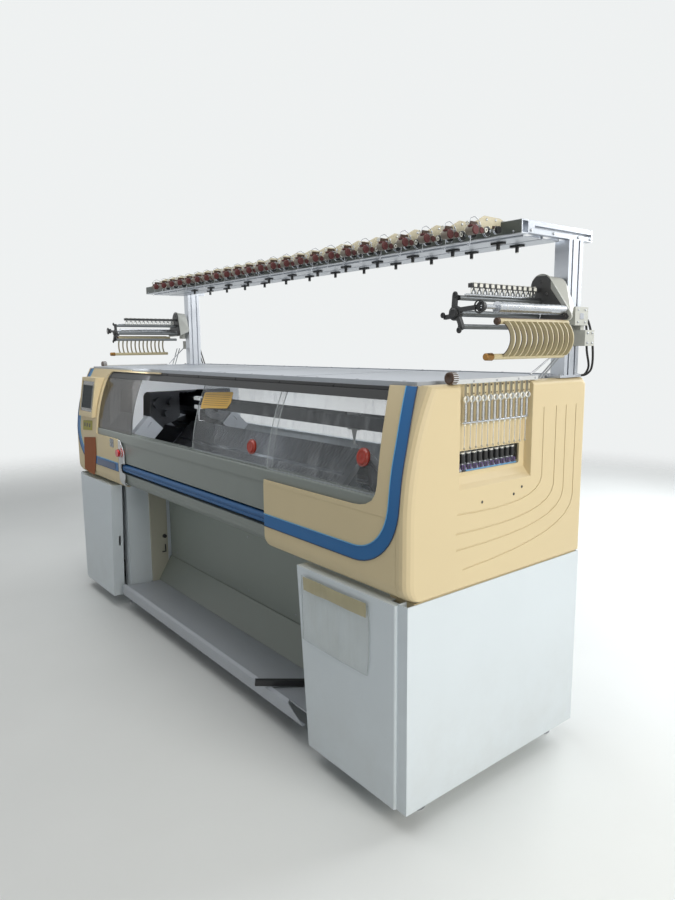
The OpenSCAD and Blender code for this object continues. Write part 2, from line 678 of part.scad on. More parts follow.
module yarn_table() color([0.88, 0.89, 0.88]) {
  difference() {
    union() {
      box(-xs + 22, xs - 22, -312, yr - 14, track_z, table_z);
      box(-xs + 22, xs - 22, yr - 14, yr - 11, track_z - 28, table_z);
    }
    // shallow tray for the cones
    box(-xs + 40, xs - 40, -290, yr - 34, table_z - 3, table_z + 1);
  }
}

// ================= fabric well =================
lip_z = 132 + sheet;
tray_z = ped_z0 + tube + gap;
well_x = xi - 10;
module well_back() color([0.72, 0.74, 0.73]) {
  along_x(-well_x, well_x) ribbon([[44, 664], [-100 - gap, 560], [-100 - gap, 240]], -sheet);
  along_x(-well_x, well_x) ribbon([[-100 - gap, 239], [-106, 236], [-178, tray_z + sheet + gap]], -sheet);
}
module fabric_tray() color([0.62, 0.63, 0.64]) difference() {
  along_x(-well_x, well_x) ribbon([[low_y + 54, tray_z], [low_y - 2, tray_z], [-364, 124],
    [-370, 132], [-378, 126], [-378, 84], [-368, 84]], -sheet);
  along_y(-420, -366) polygon([[705, lip_z + 5], [705, lip_z - 4], [800, 80], [900, 80], [900, lip_z + 5]]);
}

// ================= knitting section =================
n_trick = floor((bed_len - 60) / trick_pitch);
trick_x0 = -(n_trick - 1) * trick_pitch / 2;
trick_w = 3;
// bed section across the needles: a comb outline
function comb_pts() = concat([[-bed_len / 2, -bed_t], [-bed_len / 2, 0]],
  [for (i = [0:n_trick - 1], c = [[-1, 0], [-1, -6], [1, -6], [1, 0]])
    [trick_x0 + i * trick_pitch + c[0] * trick_w / 2, c[1]]],
  [[bed_len / 2, 0], [bed_len / 2, -bed_t]]);
// frame whose local X is the machine's X, Y is the bed normal, Z goes up the slope
module on_bed(m, s0) mirror([0, m, 0])
  translate([0, bp(s0, 0)[0], bp(s0, 0)[1]]) rotate([-45, 0, 0]) children();
module needle_beds() color([0.62, 0.64, 0.66]) difference() {
  for (m = [0, 1]) on_bed(m, bed_slope) mirror([0, 1, 0]) linear_extrude(bed_slope) polygon(comb_pts());
  box(-bed_len, bed_len, -3, 3, verge_z - 60, verge_z + 10);
}
module needles() color([0.85, 0.86, 0.88])
  for (m = [0, 1]) on_bed(m, bed_slope) mirror([0, 1, 0]) {
    for (i = [0:n_trick - 1]) translate([trick_x0 + i * trick_pitch - 0.75, 0, 0])
      rotate([90, 0, 90]) linear_extrude(1.5)
        polygon([[-5.5, 20], [3, 20], [3, 34], [0, 34], [-1, 60], [0.5, 68], [0.5, 84], [-1, 92],
          [-1, bed_slope - 4], [0.5, bed_slope + 1], [-1.5, bed_slope + 2], [-3.5, bed_slope - 2],
          [-5.5, bed_slope - 2]]);
    translate([trick_x0 - 10, gap, 70]) cube([(n_trick - 1) * trick_pitch + 20, 2, 12]);
  }

module carriage_rails() color([0.72, 0.73, 0.75]) {
  for (y = [-rail_y, rail_y]) rod_x(-wall_x, wall_x, y, rail_z, rail_r - 0.01);
  for (m = [0, 1]) mirror([0, m, 0]) for (i = [0:rib_n - 1]) {
    x = rib_x0 + i * rib_pitch;
    // brackets from the ribs to the rails
    along_x(x + 2, x + 18) difference() {
      polygon([[-229, plate_z + 63.5], [-260, plate_z + 32.5], [-260, plate_z + 45], [-rail_y - 11, rail_z - 20],
        [-rail_y - 11, rail_z - 8], [-rail_y + 11, rail_z - 8], [-rail_y + 6, rail_z - 24]]);
      translate([-rail_y, rail_z]) circle(rail_r - 0.01);
    }
  }
}
module carrier_rails() color([0.7, 0.71, 0.72])
  for (y = crail_y) box(-wall_x, wall_x, y - crail_t / 2 + 0.01, y + crail_t / 2 - 0.01, crail_z + 0.01, crail_z + crail_h - 0.01);

// ---- carriage ----
cx1 = -690;
cx0 = cx1 - car_len;
arch_z = 1200;
arch_w = 314;
arch_t = 8;
arch_in = 50;
head_n = 98;
slab_n = 196;
slab_s0 = 134;
slab_s1 = 258;
beam_uz = 1140;
module leg() {
  // white leg that stands on the sloping cover
  polygon([[-arch_w + 30, arch_z], [-arch_w + 14, arch_z - 22], [-arch_w, slab_top(-arch_w)],
    [-arch_w + 60, slab_top(-arch_w + 60)], [-arch_w + 66, 1118], [-arch_w + 72, 1132], [-arch_w + 84, beam_uz],
    [0.01, beam_uz], [0.01, arch_z]]);
}
function slab_top(y) = bp(slab_s0, slab_n)[1] + (y - bp(slab_s0, slab_n)[0]) + gap * 1.5;
module carriage_bridge() color([0.88, 0.88, 0.89]) {
  for (x = [cx0 + arch_in, cx1 - arch_in - arch_t]) along_x(x, x + arch_t) {
    leg();
    mirror([1, 0]) leg();
  }
  along_x(cx0 + arch_in, cx1 - arch_in) polygon([[-arch_w + 30, arch_z], [arch_w - 30, arch_z],
    [arch_w - 50, arch_z - 14], [-arch_w + 50, arch_z - 14]]);
}
module carriage_cams() color([0.2, 0.21, 0.23])
  for (m = [0, 1]) mirror([0, m, 0]) {
    // cam box that runs close over the needles, with its slide blocks on the rail
    along_x(cx0 + 4, cx1 - 4)
      polygon([bp(64, 5), bp(64, 22), bp(78, 34), bp(110, head_n), bp(230, head_n), bp(230, 5)]);
    for (x = [cx0 + 20, cx1 - 90]) along_x(x, x + 70) difference() {
      polygon([bp(221, 12), bp(221, 44), [-rail_y - 30, rail_z + 44], [-rail_y - 30, rail_z - 4],
        [-rail_y + 30, rail_z - 4], [-rail_y + 30, rail_z + 16]]);
      translate([-rail_y, rail_z]) circle(rail_r + 0.05);
    }
  }
module carriage_covers() color([0.66, 0.67, 0.67])
  for (m = [0, 1]) mirror([0, m, 0]) difference() {
    // sloping covers over the cam drives, with a hand slot at each end
    along_x(cx0, cx1) polygon([bp(slab_s0, head_n + gap), bp(slab_s0, slab_n - 8), bp(slab_s0 + 8, slab_n),
      bp(slab_s1 - 8, slab_n), bp(slab_s1, slab_n - 8), bp(slab_s1, head_n + gap)]);
    for (x = [cx0 - 1, cx1 - 6]) along_x(x, x + 7)
      polygon([bp(slab_s0 + 20, slab_n - 26), bp(slab_s0 + 52, slab_n - 26), bp(slab_s0 + 52, slab_n - 32),
        bp(slab_s0 + 20, slab_n - 32)]);
  }
module carriage_heads() color([0.08, 0.08, 0.09]) {
  for (m = [0, 1]) mirror([0, m, 0]) {
    along_x(cx0 + 10, cx1 - 10) polygon([[-226, beam_uz - gap], bp(slab_s0 - 0.5, slab_n - 10),
      bp(slab_s0 - 0.5, head_n + gap), bp(110, head_n + 0.5), [-104, 985], [-72, 1012], [-72, beam_uz - gap]]);
    // stepping motors at the ends of the heads
    for (x = [cx0 - 22, cx1 - 10.1]) {
      for (p = [[-196, 1082, 26], [-122, 1088, 22], [-150, 1030, 18]]) rod_x(x, x + 32.1, p[0], p[1], p[2]);
    }
  }
  // carrier selectors with their plungers, under the bridge
  box(cx0 + 60, cx1 - 60, -48, 48, crail_z + crail_h + 20, arch_z - 14 - gap);
  for (i = [0:5]) for (y = crail_y)
    rod_z(crail_z + crail_h + 12, crail_z + crail_h + 20.1, cx0 + 90 + i * (car_len - 180) / 5, y, 4);
}

// yarn carriers: a slotted block on a rail, an arm and a feeder tip
module yarn_carrier(x, y, tip_y) {
  difference() {
    box(x - 30, x + 30, y - 8.2, y + 8.2, crail_z - 8, crail_z + crail_h + 7);
    box(x - 31, x + 31, y - crail_t / 2 - 0.05, y + crail_t / 2 + 0.05, crail_z - 0.05, crail_z + crail_h + 0.05);
    box(x - 31, x + 31, y - 8.3, y, crail_z + 12, crail_z + crail_h - 12);
  }
  translate([x, y, 0]) rotate([90, 0, 0]) translate([0, 0, -1.5]) linear_extrude(3)
    polygon([[-14, crail_z - 7.9], [14, crail_z - 7.9], [4, verge_z + 34], [4, verge_z + 24 - abs(y) / 3],
      [-4, verge_z + 24 - abs(y) / 3], [-4, verge_z + 34]]);
  hull() {
    box(x - 4, x + 4, y - 1.5, y + 1.5, verge_z + 24 - abs(y) / 3, verge_z + 27 - abs(y) / 3);
    box(x - 2, x + 2, tip_y - 1, tip_y + 1, verge_z + 12, verge_z + 14);
  }
  rod_z(verge_z + 7, verge_z + 13, x, tip_y, 1.6);
}
car_a_x = -560;
car_b_x = 640;
module yarn_carrier_a() color([0.86, 0.86, 0.85]) yarn_carrier(car_a_x, crail_y[0], -9);
module yarn_carrier_b() color([0.86, 0.86, 0.85]) yarn_carrier(car_b_x, crail_y[1], 1);

// take-down rollers under the beds
module takedown_roller() color([0.12, 0.12, 0.13]) {
  rod_x(-brg_x0 - 24, brg_x0 + 24, td_y, td_z, 8);
  rod_x(-bed_len / 2, bed_len / 2, td_y, td_z, roller_r);
}
module press_roller() color([0.55, 0.56, 0.58]) {
  rod_x(-brg_x0 - 24, brg_x0 + 24, press_y, td_z, 6);
  rod_x(-bed_len / 2, bed_len / 2, press_y, td_z, press_r);
}
module drive_motors() color([0.13, 0.13, 0.14]) {
  // gearmotor of the take-down rollers
  box(brg_x0 + 26, brg_x0 + 84, td_y - 40, td_y + 40, plate_z + gap, td_z + 34);
  rod_x(brg_x0 + 83.9, brg_x0 + 170, td_y, td_z, 30);
  // main motor under the bed plate
  box(940, 980, -150, -50, split_z - 100, split_z - gap);
  rod_x(979.9, 1150, -100, split_z - 50, 44);
  // yarn cutter and clamp unit on the end wall
  along_x(wall_x - ew_t - 90, wall_x - ew_t - gap) polygon([[-118, 1120], [-60, 1120], [-60, 1010], [-86, 976],
    [-118, 976]]);
  rod_x(wall_x - ew_t - 100, wall_x - ew_t - 89.9, -89, 1080, 18);
}

// ================= rack =================
post_x = xe - 6 - post_w / 2;
post_y0 = 280;
beam_y = 45;
beam_h = 40;
module rack_posts() color([0.8, 0.81, 0.83])
  both() {
    along_z_post();
    box(post_x - post_w / 2 - 0, post_x + post_w / 2, post_y0 - 20, post_y0 + 95, cover_z + gap, cover_z + 8);
  }
module along_z_post() {
  translate([0, 0, cover_z + 7]) linear_extrude(rack_z - 36 - gap - cover_z - 7) difference() {
    translate([post_x - post_w / 2, post_y0]) square([post_w, 74]);
    for (y = [post_y0 + 16, post_y0 + 50]) for (x = [post_x - post_w / 2 - 0.1, post_x + post_w / 2 - 7.9])
      translate([x, y]) square([8, 8]);
  }
}
module rack_beams() color([0.66, 0.68, 0.7]) {
  // front beam: a channel with a dark face, then two wide flat rails
  along_x(-xe, xe - 8) ribbon([[beam_y + 30, rack_z - beam_h], [beam_y, rack_z - beam_h], [beam_y, rack_z],
    [beam_y + 30, rack_z]], -4);
  for (y = [beam_y + 34, beam_y + 128]) along_x(-xe + 28 + j, xe - 28 - j)
    ribbon([[y, rack_z - 30], [y, rack_z - 44], [y + 84, rack_z - 44], [y + 84, rack_z - 30]], 3);
  // end arms
  both() difference() {
    box(xe - 28, xe - 8, beam_y + 30 + j, yr - 2, rack_z - 36, rack_z);
    box(xe - 18, xe - 7.9, beam_y + 60, yr - 10, rack_z - 22, rack_z - 14);
  }
}
module yarn_guides() color([0.06, 0.06, 0.07])
  for (i = [0:n_units / 2 - 1]) for (y = [beam_y + 76, beam_y + 170]) {
    x = xe - 150 - i * 2 * unit_pitch;
    translate([x, y, rack_z - 49]) difference() {
      linear_extrude(4.7) rr(-26, 26, -12, 12, 11);
      translate([0, 0, -1]) cylinder(r = 5, h = 8);
    }
    translate([x, y, rack_z - 66]) difference() {
      cylinder(r = 6, h = 17.2);
      translate([0, 0, -1]) cylinder(r = 3, h = 14);
    }
  }
unit_x0 = xe - 83;
module units() for (i = [0:n_units - 1]) translate([unit_x0 - i * unit_pitch, 0, rack_z]) children();
module tension_plates() color([0.84, 0.82, 0.76]) units() {
  along_x(-1.5, 1.5) polygon([[-112, -36], [-108, -30], [-30, 10], [40, 9], [56, 4], [56, 0.3], [beam_y - 0.3, 0.3],
    [beam_y - 0.3, -14], [20, -12], [4, -22], [-12, -30], [-30, -32], [-60, -24], [-104, -42]]);
}
module tension_bodies() color([0.8, 0.76, 0.66]) units() {
  rod_x(1.8, 26, -98, -38, 13);
  rod_x(1.8, 22, -66, -36, 9);
  rod_x(1.8, 18, -46, -34, 7);
  box(1.8, 8, -100, -50, -34, -30);
}
module tension_discs() color([0.75, 0.75, 0.76]) units() {
  for (x = [2, 7]) rod_x(x, x + 2.5, -24, -34, 14.5);
  rod_x(1.8, 20, -24, -34, 4);
  rod_x(2, 9, 18, -26, 11);
}

// ================= side tensioners =================
st_y0 = -200;
st_y1 = rec_y1 + 30;
st_x = xe - 14;
st_z = cover_z + 12;
arm_y0 = st_y0 + 24;
module side_tensioners() color([0.83, 0.84, 0.84])
  both() {
    box(st_x - 8, st_x + 8, rec_y0 + 24, st_y1, cover_z + gap, st_z);
    box(st_x - 8, st_x + 8, rec_y0 - 24, rec_y0 + 24.1, cover_z + gap, st_z);
    rod_y(rec_y0 - 32, rec_y0 - 12, st_x + 2, st_z + 5, 16);
    for (i = [0:n_side - 1]) {
      y = arm_y0 + i * side_pitch;
      box(st_x - 2, st_x + 8, y - 1, y + 1, cover_z - 34, cover_z + 1);
      translate([st_x + 4, y - 2, cover_z - 42]) rotate([-90, 0, 0]) difference() {
        cylinder(r = 10, h = 4);
        translate([0, 0, -1]) cylinder(r = 4.5, h = 6);
      }
    }
  }
rail_sz = cover_z - 108;
module side_springs() color([0.7, 0.71, 0.72])
  both() {
    for (i = [0:n_side - 1]) {
      y = arm_y0 + i * side_pitch;
      rod_z(rail_sz + 3.3, cover_z - 52.3, st_x + 2, y, 4.5);
      rod_z(slot_z1 + 8, rail_sz - 3.3, st_x, y, 1.2);
    }
    rod_y(arm_y0 - 10, arm_y0 + (n_side - 1) * side_pitch + 8, st_x + 2, rail_sz, 3);
    for (y = [arm_y0 - 10, arm_y0 + (n_side - 1) * side_pitch + 5]) rod_x(xe - recess_d + gap, st_x + 2, y + 1.5, rail_sz, 2.5);
    // eyelet row behind the slot
    box(xe - recess_d - wall - 12, xe - recess_d - wall - gap, rec_y0 + 6, rec_y1 - 24, slot_z0 - 12, slot_z0 + 10);
    for (i = [0:n_side - 2]) {
      y = rec_y0 + 26 + i * side_pitch;
      rod_z(slot_z0 + 9.9, slot_z1 - 6, xe - recess_d - wall - 6, y, 5);
    }
  }

// ================= side feeders =================
fx = xe - 55;
plate_fy = 200;
module feeder_housings() color([0.78, 0.77, 0.72])
  both() {
    // dark mounting plate: rounded triangle in the X-Z plane
    along_y(plate_fy, plate_fy + 6) fplate();
    // beige motor hump behind it
    difference() {
      hull() {
        along_y(plate_fy + 6.3, plate_fy + 7) fplate(4);
        translate([fx + 22, plate_fy + 60, feed_z + 78]) rotate([90, 0, 0]) cylinder(r = 40, h = 1);
        translate([fx + 60, plate_fy + 60, feed_z + 26]) rotate([90, 0, 0]) cylinder(r = 26, h = 1);
        translate([fx - 20, plate_fy + 60, feed_z + 26]) rotate([90, 0, 0]) cylinder(r = 20, h = 1);
      }
    }
    // gray box, bracket to the post and strut to the cover
    box(post_x + post_w / 2 + gap, fx + 92, plate_fy + 60 + gap, plate_fy + 130, feed_z - 30 + gap, feed_z + 26);
    box(post_x + post_w / 2 + gap, fx + 110, post_y0 + 10, post_y0 + 60, feed_z - 92, feed_z - 44);
    box(post_x + post_w / 2 + gap, fx + 80, post_y0 + 30, post_y0 + 50, feed_z - 44, feed_z - 30);
  }
module fplate(d = 0) {
  hull() {
    translate([fx + 10, feed_z + 88]) circle(38 - d);
    translate([fx - 38, feed_z - 3]) circle(12 - d);
    translate([fx + 104, feed_z - 3]) circle(14 - d);
  }
}
module feeder_frames() color([0.07, 0.07, 0.08])
  both() difference() {
    union() {
    // three-arm spider at the front end and the rods that tie it to the plate
    for (p = [[4, 42], [10, -36]]) {
      rod_y(-168, plate_fy - gap, fx + p[0], feed_z + p[1], 7);
    }
    rod_y(-176, plate_fy - gap, fx, feed_z, 9);
    along_y(-180, -168) {
      translate([fx, feed_z]) circle(20);
      ribbon([[fx, feed_z], [fx + 4, feed_z + 50]], 12);
      ribbon([[fx, feed_z], [fx + 20, feed_z - 46]], 12);
      ribbon([[fx, feed_z], [fx - 40, feed_z - 4]], 12);
      ribbon([[fx, feed_z + 2], [froll_x, froll_z - 6]], 12);
      translate([froll_x, froll_z]) circle(13);
    }
    // hook rail with eyelets
    box(fx - 6, fx + 8, -118, plate_fy - gap, feed_z + 72, feed_z + 84);
    for (i = [0:n_side - 1]) translate([fx + 1, -104 + i * side_pitch, feed_z + 58]) rotate([0, 90, 0])
      difference() {
        cylinder(r = 9, h = 3);
        translate([0, 0, -1]) cylinder(r = 6, h = 5);
      }
    for (i = [0:n_side - 1]) rod_z(feed_z + 66, feed_z + 72.1, fx + 2.5, -104 + i * side_pitch, 2);
    }
    rod_y(-181, -167, froll_x, froll_z, 6.05);
  }
froll_r = 15;
froll_x = fx + 90;
froll_z = feed_z + 14;
module feeder_roller() {
  rod_y(-112, plate_fy - 2, froll_x, froll_z, froll_r);
  rod_y(-176, -111.9, froll_x, froll_z, 6);
}
module right_feeder_roller() color([0.75, 0.76, 0.78]) feeder_roller();
module left_feeder_roller() color([0.75, 0.76, 0.78]) mirror([1, 0, 0]) feeder_roller();
comb_x = xe + 65;
comb_z0 = feed_z - 118;
comb_z1 = feed_z - 24;
module feeder_combs() color([0.88, 0.82, 0.66])
  both() {
    rod_y(-122, plate_fy - gap, comb_x - 16, comb_z1, 8);
    rod_y(-146, 182, comb_x - 16, comb_z0, 8);
    for (i = [0:n_side - 1]) {
      y = -108 + i * side_pitch;
      along_y(y, y + 4) intersection() {
        translate([comb_x - 34, (comb_z0 + comb_z1) / 2]) difference() {
          circle(62);
          circle(50);
        }
        translate([comb_x - 16, comb_z0]) square([100, comb_z1 - comb_z0]);
      }
    }
  }

// black cables from the feeder boxes down to the moulding
cable_a = [[1352, 330.5, 1436], [1352, 350, 1428], [1353, 372, 1380], [1350, 388, 1320], [1342, 395, 1280],
  [1326, 393, 1262], [1308, 388, 1258], [1292, 383, 1257.9]];
cable_b = [[1336, 330.5, 1455], [1336, 352, 1448], [1334, 372, 1400], [1330, 384, 1340], [1330, 399, 1290],
  [1318, 401, 1264], [1304, 399, 1258.2], [1288, 396, 1257.9]];
function crp(p, i) = p[max(0, min(len(p) - 1, i))];
function cr(p, i, t) =
  0.5 * (2 * crp(p, i) + (crp(p, i + 1) - crp(p, i - 1)) * t
  + (2 * crp(p, i - 1) - 5 * crp(p, i) + 4 * crp(p, i + 1) - crp(p, i + 2)) * t * t
  + (3 * crp(p, i) - crp(p, i - 1) - 3 * crp(p, i + 1) + crp(p, i + 2)) * t * t * t);
function route(p, n) = concat([for (i = [0:len(p) - 2], k = [0:n - 1]) cr(p, i, k / n)], [p[len(p) - 1]]);
function unit(v) = v / norm(v);
module tube_along(q, r, sides = 8) {
  m = len(q);
  t = [for (i = [0:m - 1]) unit(q[min(m - 1, i + 1)] - q[max(0, i - 1)])];
  rings = [for (i = [0:m - 1]) let (u = unit(cross(t[i], [0.3, 1, 0.1])), v = cross(t[i], u))
    for (a = [0:sides - 1]) q[i] + r * (cos(a * 360 / sides) * u + sin(a * 360 / sides) * v)];
  faces = concat([[for (a = [0:sides - 1]) a]], [[for (a = [sides - 1:-1:0]) (m - 1) * sides + a]],
    [for (i = [0:m - 2], a = [0:sides - 1]) [i * sides + a, (i + 1) * sides + a, (i + 1) * sides + (a + 1) % sides,
      i * sides + (a + 1) % sides]]);
  polyhedron(rings, faces);
}
module side_cables() color([0.05, 0.05, 0.06]) both() {
  tube_along(route(cable_a, 4), 3.5);
  tube_along(route(cable_b, 4), 3.5);
}

base_frame();
levelling_feet();
bed_support();
end_walls();
cabinets();
left_door();
right_door();
cabinet_hatches();
well_fittings();
rear_panels();
end_covers();
front_covers();
front_panel();
panel_end_trim();
blue_trims();
window_trim();
start_bar();
start_bar_brackets();
estop_ring();
estop_button();
display_bezel();
control_panels();
window_sill();
window_track();
smoked_window();
left_window();
right_window();
window_knobs_left();
window_knobs_right();
rear_window();
yarn_table();
well_back();
fabric_tray();
needle_beds();
needles();
carriage_rails();
carrier_rails();
carriage_bridge();
carriage_cams();
carriage_covers();
carriage_heads();
yarn_carrier_a();
yarn_carrier_b();
takedown_roller();
press_roller();
drive_motors();
rack_posts();
rack_beams();
yarn_guides();
tension_plates();
tension_bodies();
tension_discs();
side_tensioners();
side_springs();
feeder_housings();
feeder_frames();
left_feeder_roller();
right_feeder_roller();
feeder_combs();
side_cables();
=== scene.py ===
# %% [markdown]
# # A computerised flat knitting machine
# The machine on this page stands in one shared frame: the solids come from a imported CAD model, in metres, with the
# floor at z = 0, the long way of the machine along X and its front towards -Y. Blender's part is how it looks, so
# this lesson dresses those solids: paint, plastic, glass and steel, and the small pieces that a solid model leaves
# out. The first cell loads the frame.

# %% Load the imported machine
import math
import bpy
import bmesh
from mathutils import Matrix, Vector


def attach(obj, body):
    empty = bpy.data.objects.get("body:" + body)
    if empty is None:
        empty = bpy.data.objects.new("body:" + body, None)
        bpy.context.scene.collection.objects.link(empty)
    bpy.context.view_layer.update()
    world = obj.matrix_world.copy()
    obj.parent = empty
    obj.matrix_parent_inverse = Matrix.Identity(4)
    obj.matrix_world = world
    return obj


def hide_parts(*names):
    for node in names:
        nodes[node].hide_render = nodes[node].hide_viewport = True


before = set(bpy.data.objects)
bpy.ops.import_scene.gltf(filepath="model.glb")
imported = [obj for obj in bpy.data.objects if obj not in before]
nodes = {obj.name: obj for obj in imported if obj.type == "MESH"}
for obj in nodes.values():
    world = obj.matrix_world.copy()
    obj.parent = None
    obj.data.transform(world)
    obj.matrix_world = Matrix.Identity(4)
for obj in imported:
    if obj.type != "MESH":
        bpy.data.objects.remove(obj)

show = bpy.context.scene.collection.objects.link
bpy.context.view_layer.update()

# %% [markdown]
# ## The camera
# A photograph fixes its camera if enough straight edges of known length show in it. Here the edges of the machine
# gave the place, the direction and the focal length, by fitting their lines. The camera could also be placed by
# eye, but then each piece would be judged against a view that is a little wrong. Yaw turns it from looking along +Y
# towards -X, pitch tips it down, and roll leans it.

# %% The camera at the photograph's viewing angle
FOCAL_PX, YAW, PITCH, ROLL = 673.8, math.radians(51.58), math.radians(8.7), math.radians(-0.53)
LONG_SIDE_PX, SENSOR_MM = 900, 36
EYE = Vector((2.542, -1.601, 1.357))

forward = Vector((-math.sin(YAW) * math.cos(PITCH), math.cos(YAW) * math.cos(PITCH), -math.sin(PITCH)))
right = Vector((math.cos(YAW), math.sin(YAW), 0))
up = right.cross(forward)
leaned_right = math.cos(ROLL) * right + math.sin(ROLL) * up
leaned_up = math.cos(ROLL) * up - math.sin(ROLL) * right
lens = bpy.data.cameras.new("photo_camera")
lens.sensor_width = SENSOR_MM
lens.lens = FOCAL_PX / LONG_SIDE_PX * SENSOR_MM
lens.clip_start, lens.clip_end = 0.02, 60
photo_camera = bpy.data.objects.new("photo_camera", lens)
turn = Matrix((leaned_right, leaned_up, -forward)).transposed().to_4x4()
photo_camera.matrix_world = Matrix.Translation(EYE) @ turn
show(photo_camera)
bpy.context.scene.camera = photo_camera
bpy.context.scene.view_settings.view_transform = "Standard"
print(f"lens {lens.lens:.2f} mm, {EYE.z:.2f} m above the floor")

# %% [markdown]
# ## The black side cables
# Two cables hang in a loop at each end, from the feeder's gray box to the top of the end moulding. They come first,
# because a free cord has a real length that has to fit. Each is drawn as a curve through the same points as its
# solid and kept as the mesh of that curve, since a curve object doesn't give its true bounding box.

# %% Side cables through the points of their solids
MM_PER_METRE, CABLE_RADIUS = 1000, 0.0035
routes = {
    "outer": [(1352, 330.5, 1436), (1352, 350, 1428), (1353, 372, 1380), (1350, 388, 1320), (1342, 395, 1280),
              (1326, 393, 1262), (1308, 388, 1258), (1292, 383, 1257.9)],
    "inner": [(1336, 330.5, 1455), (1336, 352, 1448), (1334, 372, 1400), (1330, 384, 1340), (1330, 399, 1290),
              (1318, 401, 1264), (1304, 399, 1258.2), (1288, 396, 1257.9)],
}


def smooth_route(points, steps=4):
    line = [Vector(p) / MM_PER_METRE for p in points]
    found = []
    for i in range(len(line) - 1):
        a, b, c, d = line[max(0, i - 1)], line[i], line[i + 1], line[min(len(line) - 1, i + 2)]
        for k in range(steps):
            t = k / steps
            found.append(0.5 * (2 * b + (c - a) * t + (2 * a - 5 * b + 4 * c - d) * t * t
                                + (3 * b - a - 3 * c + d) * t * t * t))
    return found + [line[-1]]


side_cables = []
for side in (1, -1):
    for which, points in routes.items():
        line = [Vector((side * p.x, p.y, p.z)) for p in smooth_route(points)]
        shape = bpy.data.curves.new(f"{which}_cable_{'right' if side > 0 else 'left'}", "CURVE")
        shape.dimensions, shape.bevel_depth, shape.bevel_resolution = "3D", CABLE_RADIUS, 3
        shape.use_fill_caps = True
        spline = shape.splines.new("POLY")
        spline.points.add(len(line) - 1)
        for point, at in zip(spline.points, line):
            point.co = (*at, 1)
        drawn = bpy.data.objects.new("drawn", shape)
        cable = bpy.data.objects.new(shape.name, bpy.data.meshes.new_from_object(drawn))
        bpy.data.objects.remove(drawn)
        for face in cable.data.polygons:
            face.use_smooth = True
        show(cable)
        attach(cable, "machine")
        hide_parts("side_cables")
        long = sum((b - a).length for a, b in zip(line, line[1:]))
        tuple(line[0])
        [tuple(p) for p in line]
        side_cables.append(cable)
        print(cable.name, "is", round(long, 3), "m long")

# %% [markdown]
# ## Helpers for shader maths
# A material's pattern is arithmetic on values that change over the surface. In the node editor each sum is a Math
# node. Here one small class stands for such a value, and Python's own signs add the nodes: 1 - mask, noise * 0.2
# and so on. Colours and vectors aren't put through these signs, because a Math node turns a colour grey.

# %% Values with arithmetic
def sign(operation, reflected=False):
    """the method behind one of Python's signs; reflected means that the value stands on the right"""
    def apply(self, other):
        first, second = (other, self) if reflected else (self, other)
        return self.finish.math(operation, first, second)
    return apply


class Value:
    def __init__(self, finish, socket):
        self.finish, self.socket = finish, socket

    __add__, __radd__ = sign("ADD"), sign("ADD", reflected=True)
    __sub__, __rsub__ = sign("SUBTRACT"), sign("SUBTRACT", reflected=True)
    __mul__, __rmul__ = sign("MULTIPLY"), sign("MULTIPLY", reflected=True)
    __truediv__, __rtruediv__ = sign("DIVIDE"), sign("DIVIDE", reflected=True)
    __gt__, __lt__ = sign("GREATER_THAN"), sign("LESS_THAN")

    def of(self, operation, other):
        return self.finish.math(operation, self, other)


print("values can be added, subtracted, multiplied, divided and compared")

# %% [markdown]
# One finish is one material. Its node method takes a node's type, its settings, which are set first, and then the
# values or links of its sockets. Everything that varies ends in Base Color, Roughness, Metallic, Alpha or a Bump
# node, because those are what an exporter can bake. Numbers that are the same all over are set on the shader
# itself.

# %% A finish and its one node method
class Finish:
    def __init__(self, name, **fixed):
        self.material = bpy.data.materials.new(name)
        self.material.use_nodes = True
        self.tree = self.material.node_tree
        self.tree.nodes.clear()
        self.shader = self.tree.nodes.new("ShaderNodeBsdfPrincipled")
        out = self.tree.nodes.new("ShaderNodeOutputMaterial")
        self.tree.links.new(self.shader.outputs[0], out.inputs["Surface"])
        for socket, value in fixed.items():
            self.feed(self.shader.inputs[socket.replace("_", " ")], value)

    def feed(self, socket, value):
        if isinstance(value, Value):
            self.tree.links.new(value.socket, socket)
        elif hasattr(value, "__len__") and len(value) == 3 and socket.type == "RGBA":
            socket.default_value = (*value, 1)
        else:
            socket.default_value = value

    def node(self, kind, settings=None, sockets=None, out=0):
        made = self.tree.nodes.new(kind)
        for name, value in (settings or {}).items():
            setattr(made, name, value)
        for name, value in (sockets or {}).items():
            self.feed(made.inputs[name], value)
        return Value(self, made.outputs[out])

    def math(self, operation, a, b):
        return self.node("ShaderNodeMath", {"operation": operation}, {0: a, 1: b})

    def place(self):
        return self.node("ShaderNodeTexCoord", out="Object")

    def axis(self, letter):
        return self.node("ShaderNodeSeparateXYZ", sockets={0: self.place()}, out=letter)

    def stretched(self, x, y, z):
        return self.node("ShaderNodeVectorMath", {"operation": "MULTIPLY"}, {0: self.place(), 1: (x, y, z)})

    def noise(self, scale, detail, vector=None, rough=0.5):
        return self.node("ShaderNodeTexNoise", sockets={"Vector": vector or self.place(), "Scale": scale,
                                                        "Detail": detail, "Roughness": rough})

    def mix(self, mask, a, b):
        return self.node("ShaderNodeMix", {"data_type": "RGBA"}, {0: mask, 6: a, 7: b}, out=2)

    def bump(self, height, distance, normal):
        made = self.node("ShaderNodeBump", sockets={"Height": height, "Distance": distance, "Strength": 1.0,
                                                    "Normal": normal})
        self.feed(self.shader.inputs["Normal"], made)

    def set(self, **sockets):
        for name, value in sockets.items():
            self.feed(self.shader.inputs[name.replace("_", " ")], value)


def srgb(red, green, blue):
    return tuple(((c / 255 + 0.055) / 1.055) ** 2.4 if c > 10 else c / 3294.6 for c in (red, green, blue))


print("a beige paint as the shader wants it:", [round(c, 3) for c in srgb(213, 196, 157)])

